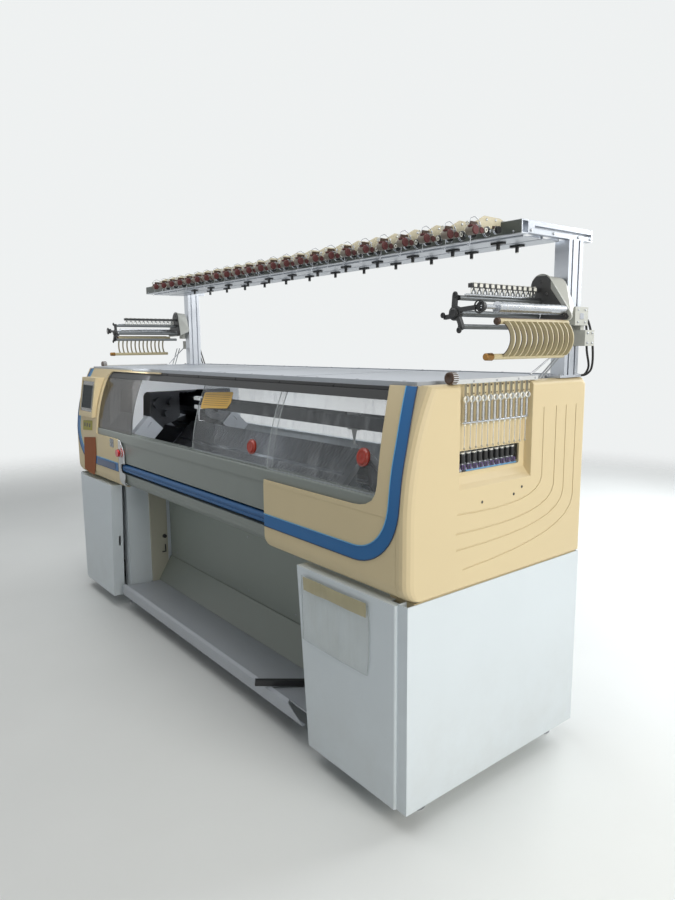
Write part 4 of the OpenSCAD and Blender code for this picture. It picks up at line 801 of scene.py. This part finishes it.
welds.tube([(0.853, -0.4128, 0.64), (0.8545, -0.4128, 0.55), (0.8585, -0.4128, 0.45), (0.857, -0.4128, 0.428)],
           0.0008, 6)
welds.tube([(1.175, -0.4128, 0.636), (1.18, -0.413, 0.55), (1.178, -0.4134, 0.47), (1.171, -0.4132, 0.424)],
           0.0011, 6)
welds.tube([(0.857, -0.4128, 0.428), (0.94, -0.4134, 0.4255), (1.06, -0.4134, 0.423), (1.171, -0.4132, 0.424)],
           0.0007, 6)
welds.done("pouch_welds", edge_acrylic, "right_door_leaf")
tape = Shape().plate([(0.868, 0.64), (0.95, 0.6415), (1.06, 0.64), (1.172, 0.6425), (1.173, 0.62), (1.171, 0.6),
                      (1.1, 0.5985), (1.0, 0.6), (0.93, 0.597), (0.872, 0.598)], "Y", -0.419, -0.4183)
tape.done("pouch_tape", tape_brown, "right_door_leaf")
print("the pouch has", len(spots), "grid points")

# %% [markdown]
# The cabinets have a narrow flange at their front, and the end covers a lip along their underside. Small screws and
# caps close the covers and the panel at the back of the well.

# %% Flanges, lip and fixings
flange = Shape().block((0.8252, -0.3318, 0.062), (0.9002, -0.3302, 0.666), 0.0004)
flange.mirrored().done("cabinet_flanges", white_sheet)
lip = Shape()
lip.block((1.22, -0.37, 0.648), (1.316, -0.364, 0.6716), 0.0008)
lip.block((1.312, -0.364, 0.648), (1.317, 0.39, 0.6716), 0.0008)
lip.mirrored().done("cover_underside_lip", cream_cover)
end_fixings = Shape()
for side in (1, -1):
    for y, z in ((0.073, 0.935), (0.035, 0.918), (-0.11, 0.915)):
        end_fixings.turned((side * 1.3248, y, z), (side, 0, 0),
                           [(0, 0.0045), (0.0006, 0.0045), (0.0004, 0.003), (0.0003, 0.001)], 14)
end_fixings.done("end_cover_fixings", black_plastic)
well_screws = Shape()
for x in (-0.74, -0.37, 0.0, 0.37, 0.74):
    for z in (0.27, 0.52):
        well_screws.turned((x, -0.1036, z), FRONT, [(0, 0.0052), (0.0012, 0.005), (0.002, 0.003)], 12)
well_screws.done("well_screws", steel)

# %% [markdown]
# ## The side tensioner
# Twelve yarns come down the end of the machine. Each passes an arm, a ceramic eyelet held by a spring, a thin rod,
# a second eyelet and a slot. The solid has their bodies; the rims, coils, screws and the coloured row inside the
# slot are fine pieces added here, on both ends.

# %% Materials for the yarn path
ceramic = painted("ceramic", (236, 236, 228), rough=0.22, wear_and_highlight=1.05, drift=0.04, coat=0.5)
dark_brown = painted("brown_knob", (70, 48, 34), rough=0.32, wear_and_highlight=1.3, drift=0.2)
spring_steel = metal("spring_steel", (176, 176, 172), rough=0.28)
bronze = metal("bronze", (150, 112, 66), rough=0.34)
sky_plastic = painted("sky_plastic", (112, 168, 214), rough=0.4)
violet_plastic = painted("violet_plastic", (82, 66, 110), rough=0.4)
arm_cream = painted("arm_cream", (206, 196, 160), rough=0.4, drift=0.12)
print("materials so far", len(bpy.data.materials))

# %% Arms, eyelets, springs and the slot, on both ends
PITCH_Y, KNOB_X, KNOB_Z = 0.025, 1.313, 1.271
ARM_X, THREAD_X, SLOT_X, SLOT_FACE = 1.3204, 1.313, 1.289, 1.2948


def finish_both_ends(*table):
    for name, shape, finish in table:
        shape.mirrored().done(name, finish)


knob_disc, eyelets, arm_faces, arm_pins, springs = (Shape() for _ in range(5))
bar_screws, slot_dark, slot_sky, slot_violet, slot_rim, slot_white = (Shape() for _ in range(6))
knob_disc.turned((KNOB_X, -0.2425, KNOB_Z), FRONT, [
    (0, 0.017), (0.0022, 0.0164), (0.0036, 0.014), (0.003, 0.008), (0.0016, 0.005), (0.0018, 0.002)], 26)
for k in range(18):
    a = math.tau * k / 18
    x, z = KNOB_X + 0.0158 * math.cos(a), KNOB_Z + 0.0158 * math.sin(a)
    knob_disc.rod((x, -0.2425, z), (x, -0.223, z), 0.0014, 6)
for k in range(12):
    y = -0.176 + PITCH_Y * k
    arm_faces.block((1.3188, y - 0.0036, 1.2215), (ARM_X, y + 0.0036, 1.2545), 0.0006)
    arm_pins.screw((ARM_X, y, 1.249), RIGHT, 0.003, 0.0022, sides=10)
    arm_pins.screw((ARM_X, y, 1.227), RIGHT, 0.0022, 0.0014, 0.001, 0.0014, 10)
    eyelets.hoop((1.315, y, 1.212 if k % 2 else 1.2112), RIGHT, 0.0072, 0.003, 22)
    springs.coil((THREAD_X, y, 1.15), (THREAD_X, y, 1.201), 0.0047, 0.0008, 15)
    springs.hoop((THREAD_X, y, 1.148), BACK, 0.0032, 0.0008, 12)
    springs.hoop((1.3112, y, 1.0745), BACK, 0.003, 0.0009, 12)
    eyelets.turned((1.3112, y, 1.1425), DOWN, [(0, 0.0022), (0.001, 0.0034), (0.0046, 0.0034), (0.0056, 0.0022)], 12)
for k in range(11):
    y = -0.184 + PITCH_Y * k
    slot_dark.hoop((SLOT_X, y, 1.0605), UP, 0.0046, 0.0017, 16)
    slot_dark.screw((SLOT_FACE, y, 1.0065), RIGHT, 0.0056, 0.004)
    slot_dark.turned((SLOT_X, y, 1.028), UP, [(0, 0.007), (0.002, 0.0078), (0.024, 0.0078), (0.026, 0.0062)], 16)
    slot_white.hoop((SLOT_X, y, 1.0575), UP, 0.0054, 0.0024, 16)
    slot_violet.block((SLOT_FACE, y - 0.0092, 1.01), (1.2972, y + 0.0092, 1.0245), 0.001)
    slot_dark.block((1.2971, y - 0.005, 1.012), (1.298, y + 0.001, 1.022), 0.0003)
for y in (-0.15, -0.05, 0.05, 0.13):
    bar_screws.screw((1.319, y, 1.2604), RIGHT, 0.0032, 0.002)
slot_sky.block((SLOT_FACE, -0.15, 1.005), (1.2975, 0.08, 1.0092), 0.0006)
slot_dark.block((1.285, -0.2035, 1.016), (1.2935, -0.193, 1.056), 0.0012)
slot_rim.tube([(1.301, y, z) for y, z in rounded(-0.199, 0.086, 1.004, 1.067, 0.006)], 0.0014, 6, closed=True)
finish_both_ends(("tensioner_knob_disc", knob_disc, dark_brown), ("tensioner_eyelets", eyelets, ceramic),
                 ("tensioner_arm_faces", arm_faces, arm_cream), ("tensioner_arm_pins", arm_pins, dark_brown),
                 ("tensioner_springs", springs, spring_steel), ("tensioner_screws", bar_screws, steel),
                 ("slot_eyelets", slot_dark, black_plastic), ("slot_sky_bar", slot_sky, sky_plastic),
                 ("slot_violet_row", slot_violet, violet_plastic), ("slot_rim", slot_rim, cream_plastic),
                 ("slot_white_eyelets", slot_white, ceramic))
print("twelve arms stand", PITCH_Y, "m apart")

# %% [markdown]
# ## The recess in the end covers
# The end cover stands back around the yarn path. Its rear and lower edges lie in a brown shadow, which two thin
# strips give.

# %% The recess's brown edge of painted shadow
# two thin brown strips: painted shadow along the recess's rear and lower edges
recess_edge = Shape()
recess_edge.block((1.3006, 0.114, 0.964), (1.304, 0.1152, 1.252), 0.0003)
recess_edge.block((1.3006, -0.2105, 0.962), (1.304, 0.1152, 0.9632), 0.0003)
finish_both_ends(("recess_shadow_edge", recess_edge, painted("recess_painted_shadow", (120, 92, 60), rough=0.5)))
print("the shadow edge is on both ends")

# %% [markdown]
# ## The feeder units
# Each end has a black spider with yarn loops hanging from a rail, a bright roller and two combs. The loops, bosses,
# edges and blocks come here; what turns with the roller rides the roller's body.

# %% Feeder details, on both ends
LOOP_X, SPIDER_Y, PLATE_FRONT, PLATE_BACK = 1.271, -0.1802, 0.1982, 0.1998
ROLLER_X, ROLLER_Z, COMB_X, COMB_Z = 1.36, 1.459, 1.356, 1.374
HALF_LOOP = [(-0.0068, 1.5165), (-0.008, 1.506), (-0.0072, 1.4975), (-0.004, 1.4915)]

loops, blocks, spider_bits, shiny_rods, cap_bronze = (Shape() for _ in range(5))
comb_edge, comb_caps, plate_face, housing_bits, bracket_bits = (Shape() for _ in range(5))
for k in range(12):
    y = -0.104 + PITCH_Y * k
    blocks.block((1.2778, y - 0.007, 1.518), (1.28, y + 0.007, 1.5282), 0.0008)
    blocks.block((1.264, y - 0.0062, 1.529), (1.278, y + 0.0062, 1.5312), 0.0008)
    down = [(LOOP_X, y + dy, z) for dy, z in HALF_LOOP]
    rise = [(LOOP_X, y - dy, z) for dy, z in HALF_LOOP[::-1]]
    loops.tube(down + [(LOOP_X, y, 1.4895)] + rise, 0.002, 8)
for x, z, r in ((1.274, 1.495, 0.0085), (1.29, 1.399, 0.0085), (1.23, 1.441, 0.008)):
    spider_bits.turned((x, SPIDER_Y, z), FRONT, [
        (0, r), (0.003, r), (0.0044, r * 0.8), (0.0044, r * 0.5), (0.0024, r * 0.42), (0.0024, 0.001)], 18)
spider_bits.turned((1.27, SPIDER_Y, 1.445), FRONT, [
    (0, 0.015), (0.0036, 0.0142), (0.006, 0.01), (0.0046, 0.006), (0.0046, 0.002)], 22)
spider_bits.hoop((ROLLER_X, -0.183, ROLLER_Z), BACK, 0.0165, 0.0022, 26)
spider_bits.block((1.344, -0.1846, 1.4578), (1.376, -0.182, 1.4602), 0.0004)
spider_bits.block((1.3588, -0.1846, 1.443), (1.3612, -0.182, 1.475), 0.0004)
shiny_rods.rod((1.281, -0.15, 1.496), (1.281, 0.1995, 1.496), 0.0032, 12)
shiny_rods.hoop((1.27, -0.164, 1.445), BACK, 0.0122, 0.0012, 20)
shiny_rods.hoop((1.27, 0.196, 1.445), BACK, 0.0122, 0.0016, 20)
cap_bronze.turned((1.374, -0.1462, 1.327), FRONT, [
    (0, 0.0105), (0.004, 0.0105), (0.024, 0.0098), (0.0262, 0.008), (0.0262, 0.002)], 22)
bend = [math.radians(a) for a in range(66, -67, -6)]
for k in range(12):
    y = -0.108 + PITCH_Y * k
    comb_edge.tube([(COMB_X + 0.0494 * math.cos(a), y + 0.0002, COMB_Z + 0.0494 * math.sin(a)) for a in bend],
                   0.0012, 6)
comb_caps.turned((1.374, -0.1222, 1.421), FRONT, [
    (0, 0.0102), (0.003, 0.0102), (0.0078, 0.0094), (0.0092, 0.007), (0.0092, 0.002)], 20)
comb_caps.rod((1.374, -0.118, 1.4296), (1.374, 0.18, 1.4296), 0.0016, 8)
plate_face.plate([(1.247, 1.525), (1.247, 1.55), (1.262, 1.5645), (1.298, 1.5645), (1.313, 1.55),
                  (1.313, 1.525), (1.372, 1.451), (1.38, 1.44), (1.374, 1.432), (1.232, 1.434),
                  (1.224, 1.442), (1.226, 1.452)], "Y", PLATE_FRONT, PLATE_BACK, 0.0004)
for x, z in ((1.28, 1.548), (1.236, 1.444), (1.366, 1.441), (1.3, 1.51)):
    plate_face.turned((x, PLATE_FRONT, z), FRONT, [(0, 0.0048), (0.0018, 0.0046), (0.0026, 0.003)], 14)
for y in (0.276, 0.314):
    for z in (1.462, 1.425):
        housing_bits.screw((1.3622, y, z), RIGHT, 0.0032, 0.002)
housing_bits.block((1.3621, 0.285, 1.434), (1.363, 0.306, 1.452), 0.0004)
for z in (1.362, 1.392):
    for y in (0.302, 0.328):
        bracket_bits.screw((1.3802, y, z), RIGHT, 0.0038, 0.0022, 0.0014, 0.0022)
plate_dark = painted("plate_dark", (66, 66, 66), rough=0.42)
finish_both_ends(("feeder_rail_blocks", blocks, ceramic), ("feeder_yarn_loops", loops, ceramic),
                 ("feeder_spider_bosses", spider_bits, black_plastic),
                 ("feeder_bright_rods", shiny_rods, bright_steel),
                 ("comb_bronze_end", cap_bronze, bronze), ("comb_inner_edges", comb_edge, dark_brown),
                 ("comb_caps", comb_caps, dark_brown), ("feeder_dark_plate", plate_face, plate_dark),
                 ("feeder_box_screws", housing_bits, steel), ("feeder_bracket_screws", bracket_bits, steel))
for side, body in ((1, "feed_right"), (-1, "feed_left")):
    rings = Shape()
    for k in range(13):
        rings.hoop((side * ROLLER_X, -0.108 + PITCH_Y * k, ROLLER_Z), BACK, 0.0148, 0.0007, 24)
    rings.done(f"{body}_roller_grooves", spring_steel, body)
print("feeder pieces made")

# %% [markdown]
# ## The yarn rack
# Twenty-four identical units sit on the front beam. Each has a plate with screws, a red cap, ceramic guides, a dark
# wheel and a wire hook that hangs in front. The parts of one material are gathered in one Shape for all units, and
# one function gives a place on the unit.

# %% Rack units
UNIT_X, UNIT_PITCH, UNIT_Z = 1.242, 0.0925, 1.712
caps, wheels, guides, hooks, faces, unit_screws, clamps = (Shape() for _ in range(7))
for i in range(24):
    def at(across, depth, height):
        return (UNIT_X - UNIT_PITCH * i + across, depth, UNIT_Z + height)

    caps.turned(at(0.0262, -0.098, -0.038), RIGHT, [
        (0, 0.0128), (0.003, 0.0128), (0.0046, 0.011), (0.0046, 0.001)], 16)
    caps.block(at(0.0085, -0.111, -0.03), at(0.025, -0.084, -0.0236), 0.002)
    caps.turned(at(0.0222, -0.066, -0.036), RIGHT, [(0, 0.0088), (0.0016, 0.008), (0.0016, 0.001)], 14)
    wheels.turned(at(0.0092, 0.018, -0.026), RIGHT, [
        (0, 0.0108), (0.002, 0.0108), (0.003, 0.0078), (0.005, 0.0078), (0.0062, 0.0104), (0.008, 0.0104),
        (0.008, 0.001)], 18)
    wheels.turned(at(0.0096, -0.024, -0.034), RIGHT, [
        (0, 0.0142), (0.0006, 0.012), (0.001, 0.005), (0.009, 0.0046), (0.01, 0.0036), (0.01, 0.001)], 18)
    guides.hoop(at(0.0222, -0.046, -0.034), RIGHT, 0.0048, 0.0019, 14)
    guides.hoop(at(0.007, -0.108, -0.018), BACK, 0.0044, 0.0018, 14)
    hooks.tube([at(0.0115, -0.099, -0.051), at(0.0115, -0.1, -0.062), at(0.0118, -0.103, -0.074),
                at(0.0122, -0.108, -0.08), at(0.0126, -0.113, -0.078), at(0.0128, -0.114, -0.072)], 0.0011, 6)
    hooks.tube([at(0.015, -0.06, -0.025), at(0.015, -0.07, -0.008), at(0.015, -0.088, 0.0),
                at(0.015, -0.104, -0.006), at(0.015, -0.11, -0.02)], 0.001, 6)
    hooks.coil(at(0.02, -0.09, -0.024), at(0.02, -0.066, -0.026), 0.003, 0.0006, 8)
    faces.block(at(0.0016, -0.096, -0.024), at(0.007, -0.064, -0.011), 0.0012)
    faces.block(at(0.0016, 0.005, -0.023), at(0.006, 0.03, -0.015), 0.001)
    for depth, height in ((-0.02, 0.0), (0.02, 0.002), (-0.052, -0.012)):
        unit_screws.screw(at(0.0015, depth, height), RIGHT, 0.0036, 0.0024)
    clamps.block(at(-0.0105, 0.0462, 0.0004), at(0.0105, 0.074, 0.0022), 0.0005)
cap_red = painted("cap_red", (86, 30, 30), rough=0.5, drift=0.2)
for name, shape, finish in (("unit_red_caps", caps, cap_red), ("unit_wheels", wheels, black_plastic),
                            ("unit_ceramics", guides, ceramic), ("unit_hooks", hooks, steel),
                            ("unit_switch_boxes", faces, dark_brown), ("unit_screws", unit_screws, steel),
                            ("unit_clamps", clamps, steel)):
    shape.done(name, finish)
print("the units reach from x", UNIT_X, "to", round(UNIT_X - UNIT_PITCH * 23, 3))

# %% [markdown]
# The front beam has a dark face with a row of bolts. Ceramic rims line the yarn guides under the rack, bolts hold
# the end arms and the posts, and thin struts tie each feeder's comb to the cover.

# %% Rack beam face, guide rims, bolts and struts
beam_face = Shape().block((-1.324, 0.0438, 1.675), (1.316, 0.0449, 1.7105), 0.0003)
beam_face.done("rack_beam_face", painted("beam_dark", (82, 88, 84), rough=0.4, wear_and_highlight=1.5, drift=0.18))
beam_bits, rims, struts = Shape(), Shape(), Shape()
for k in range(12):
    beam_bits.screw((-1.29 + 0.2345 * k, 0.0438, 1.68), FRONT, 0.0034, 0.0022, 0.0014, 0.002, 10)
for k in range(12):
    x = 1.175 - 0.185 * k
    for y in (0.121, 0.215):
        rims.hoop((x, y, 1.6466), UP, 0.0046, 0.0016, 14)
        for dx in (-0.0185, 0.0185):
            beam_bits.screw((x + dx, y, 1.6629), DOWN, 0.003, 0.002, 0.001, 0.0016, 10)
rims.done("guide_ceramic_rims", ceramic)
for side in (1, -1):
    for y in (0.09, 0.2, 0.33, 0.395):
        beam_bits.screw((side * 1.3172, y, 1.684), (side, 0, 0), 0.0042, 0.0028, 0.0014, 0.0022)
    for x in (1.275, 1.313):
        for y in (0.268, 0.366):
            beam_bits.screw((side * x, y, 1.262), UP, 0.0056, 0.0044, 0.003, 0.0036, 6)
beam_bits.done("rack_bolts", steel)
for y in (0.236, 0.252):
    struts.rod((1.352, y, 1.356), (1.298, y - 0.06, 1.256), 0.0026, 8)
struts.rod((1.33, 0.27, 1.36), (1.286, 0.15, 1.268), 0.0026, 8)
finish_both_ends(("comb_struts", struts, steel))
print("rack bolts, rims and struts made")

# %% [markdown]
# ## Inside the windows
# Behind the panes the photograph shows the pale needle bed and, at the right end, the yarn cutter with two small
# holders. Their fine parts and a row of clamp screws along the bed are made here.

# %% Cutter, yarn holders and bed screws
cutter, cutter_bright, holders, bed_edge = (Shape() for _ in range(4))
for low, high, bevel in (((1.16, -0.15, 0.984), (1.238, -0.096, 1.02), 0.003),
                         ((1.172, -0.14, 1.02), (1.232, -0.09, 1.058), 0.003),
                         ((1.204, -0.132, 1.058), (1.24, -0.092, 1.094), 0.002),
                         ((1.186, -0.16, 0.996), (1.2, -0.148, 1.048), 0.001),
                         ((1.214, -0.158, 1.03), (1.234, -0.14, 1.084), 0.001)):
    cutter.block(low, high, bevel)
cutter.rod((1.162, -0.154, 1.066), (1.238, -0.15, 1.07), 0.003, 10)
cutter.rod((1.176, -0.15, 1.05), (1.166, -0.154, 1.098), 0.0026, 10)
cutter.tube([(1.232, -0.14, 1.09), (1.226, -0.15, 1.104), (1.206, -0.152, 1.108), (1.19, -0.146, 1.094)],
            0.0026, 8)
for x, z, r in ((1.176, 1.006, 0.012), (1.214, 1.014, 0.008), (1.222, 1.07, 0.007)):
    cutter_bright.turned((x, -0.15, z), FRONT, [
        (0, r), (0.003, r), (0.0042, r * 0.8), (0.0042, r * 0.4), (0.007, r * 0.34), (0.007, 0.001)], 20)
cutter_bright.rod((1.168, -0.16, 1.036), (1.236, -0.16, 1.03), 0.0018, 8)
cutter_bright.coil((1.188, -0.158, 1.056), (1.188, -0.158, 1.084), 0.0034, 0.0008, 9)
for x, tall in ((1.152, 0.05), (1.168, 0.034)):
    holders.block((x - 0.0045, -0.172, 0.992), (x + 0.0045, -0.16, 0.992 + tall), 0.0012)
    holders.block((x - 0.0065, -0.176, 0.984), (x + 0.0065, -0.158, 0.998), 0.0012)
cutter.done("yarn_cutter_body", black_metal)
cutter_bright.done("yarn_cutter_bright", bright_steel)
holders.done("yarn_holders", ceramic)
for k in range(24):
    bed_edge.screw((-0.69 + 0.06 * k, -0.1424, 0.865), FRONT, 0.0042, 0.0028, sides=10)
bed_edge.done("bed_clamp_screws", bright_steel)

# %% [markdown]
# ## The back
# Nothing of the back shows in the photograph. Plain screws run along the sheet panels, as such machines have them.

# %% Rear screws
rear = Shape()
for k in range(11):
    for y, z in ((0.3996, 0.235), (0.3996, 0.64), (0.4101, 0.7)):
        rear.turned((-1.2 + 0.24 * k, y, z), BACK, [(0, 0.0054), (0.0014, 0.0052), (0.0022, 0.0034)], 12)
rear.done("rear_panel_screws", steel)
print("rear screws made")

# %% [markdown]
# ## Dressing the solids
# The solids whose shape is already right keep their place and get their finish here. Each row names a finish and
# the nodes of the record that wear it, by the material of their real pieces.

# %% Which finish each solid gets
wear_on = (
    (frame_steel, "base_frame bed_support"), (steel, "levelling_feet needle_beds press_roller"),
    (white_sheet, "cabinets left_door right_door rear_panels"), (hatch_beige, "cabinet_hatches"),
    (pale_gray_sheet, "end_walls yarn_table fabric_tray carriage_covers"), (well_gray, "well_back"),
    (cream_cover, "end_covers front_covers window_trim display_bezel"), (blue_plastic, "blue_trims"),
    (gray_sheet, "front_panel start_bar_brackets window_sill"), (bar_blue, "start_bar"),
    (pale_plastic, "panel_end_trim yarn_carrier_a yarn_carrier_b side_tensioners"), (cam_metal, "carriage_heads"),
    (black_plastic, "well_fittings window_track yarn_guides"), (red_plastic, "estop_ring estop_button"),
    (dark_glass, "control_panels"), (smoked_acrylic, "smoked_window"), (clear_acrylic, "left_window right_window"),
    (orange_knob, "window_knobs_left window_knobs_right"), (rear_acrylic, "rear_window"),
    (bright_steel, "needles carriage_rails tension_discs side_springs"), (white_paint, "carriage_bridge"),
    (black_metal, "carrier_rails carriage_cams drive_motors"), (black_rubber, "takedown_roller side_cables"),
    (brushed_alloy, "rack_posts rack_beams"), (plate_cream, "tension_plates"), (unit_gray, "tension_bodies"),
    (housing_gray, "feeder_housings"), (spider_metal, "feeder_frames"), (comb_cream, "feeder_combs"),
    (bright_rod, "left_feeder_roller right_feeder_roller"),
)
dressed = set()
for finish, names in wear_on:
    for name in names.split():
        solid = nodes[name]
        solid.data.materials.clear()
        solid.data.materials.append(finish.material)
        dressed.add(name)
for cable in side_cables:
    cable.data.materials.append(black_rubber.material)
print("solids dressed", len(dressed), "left plain", sorted(set(nodes) - dressed))

# %% [markdown]
# ## The last update
# Blender dresses the model and never resizes it. This cell brings the scene up to date.

# %% Update the scene
bpy.context.view_layer.update()
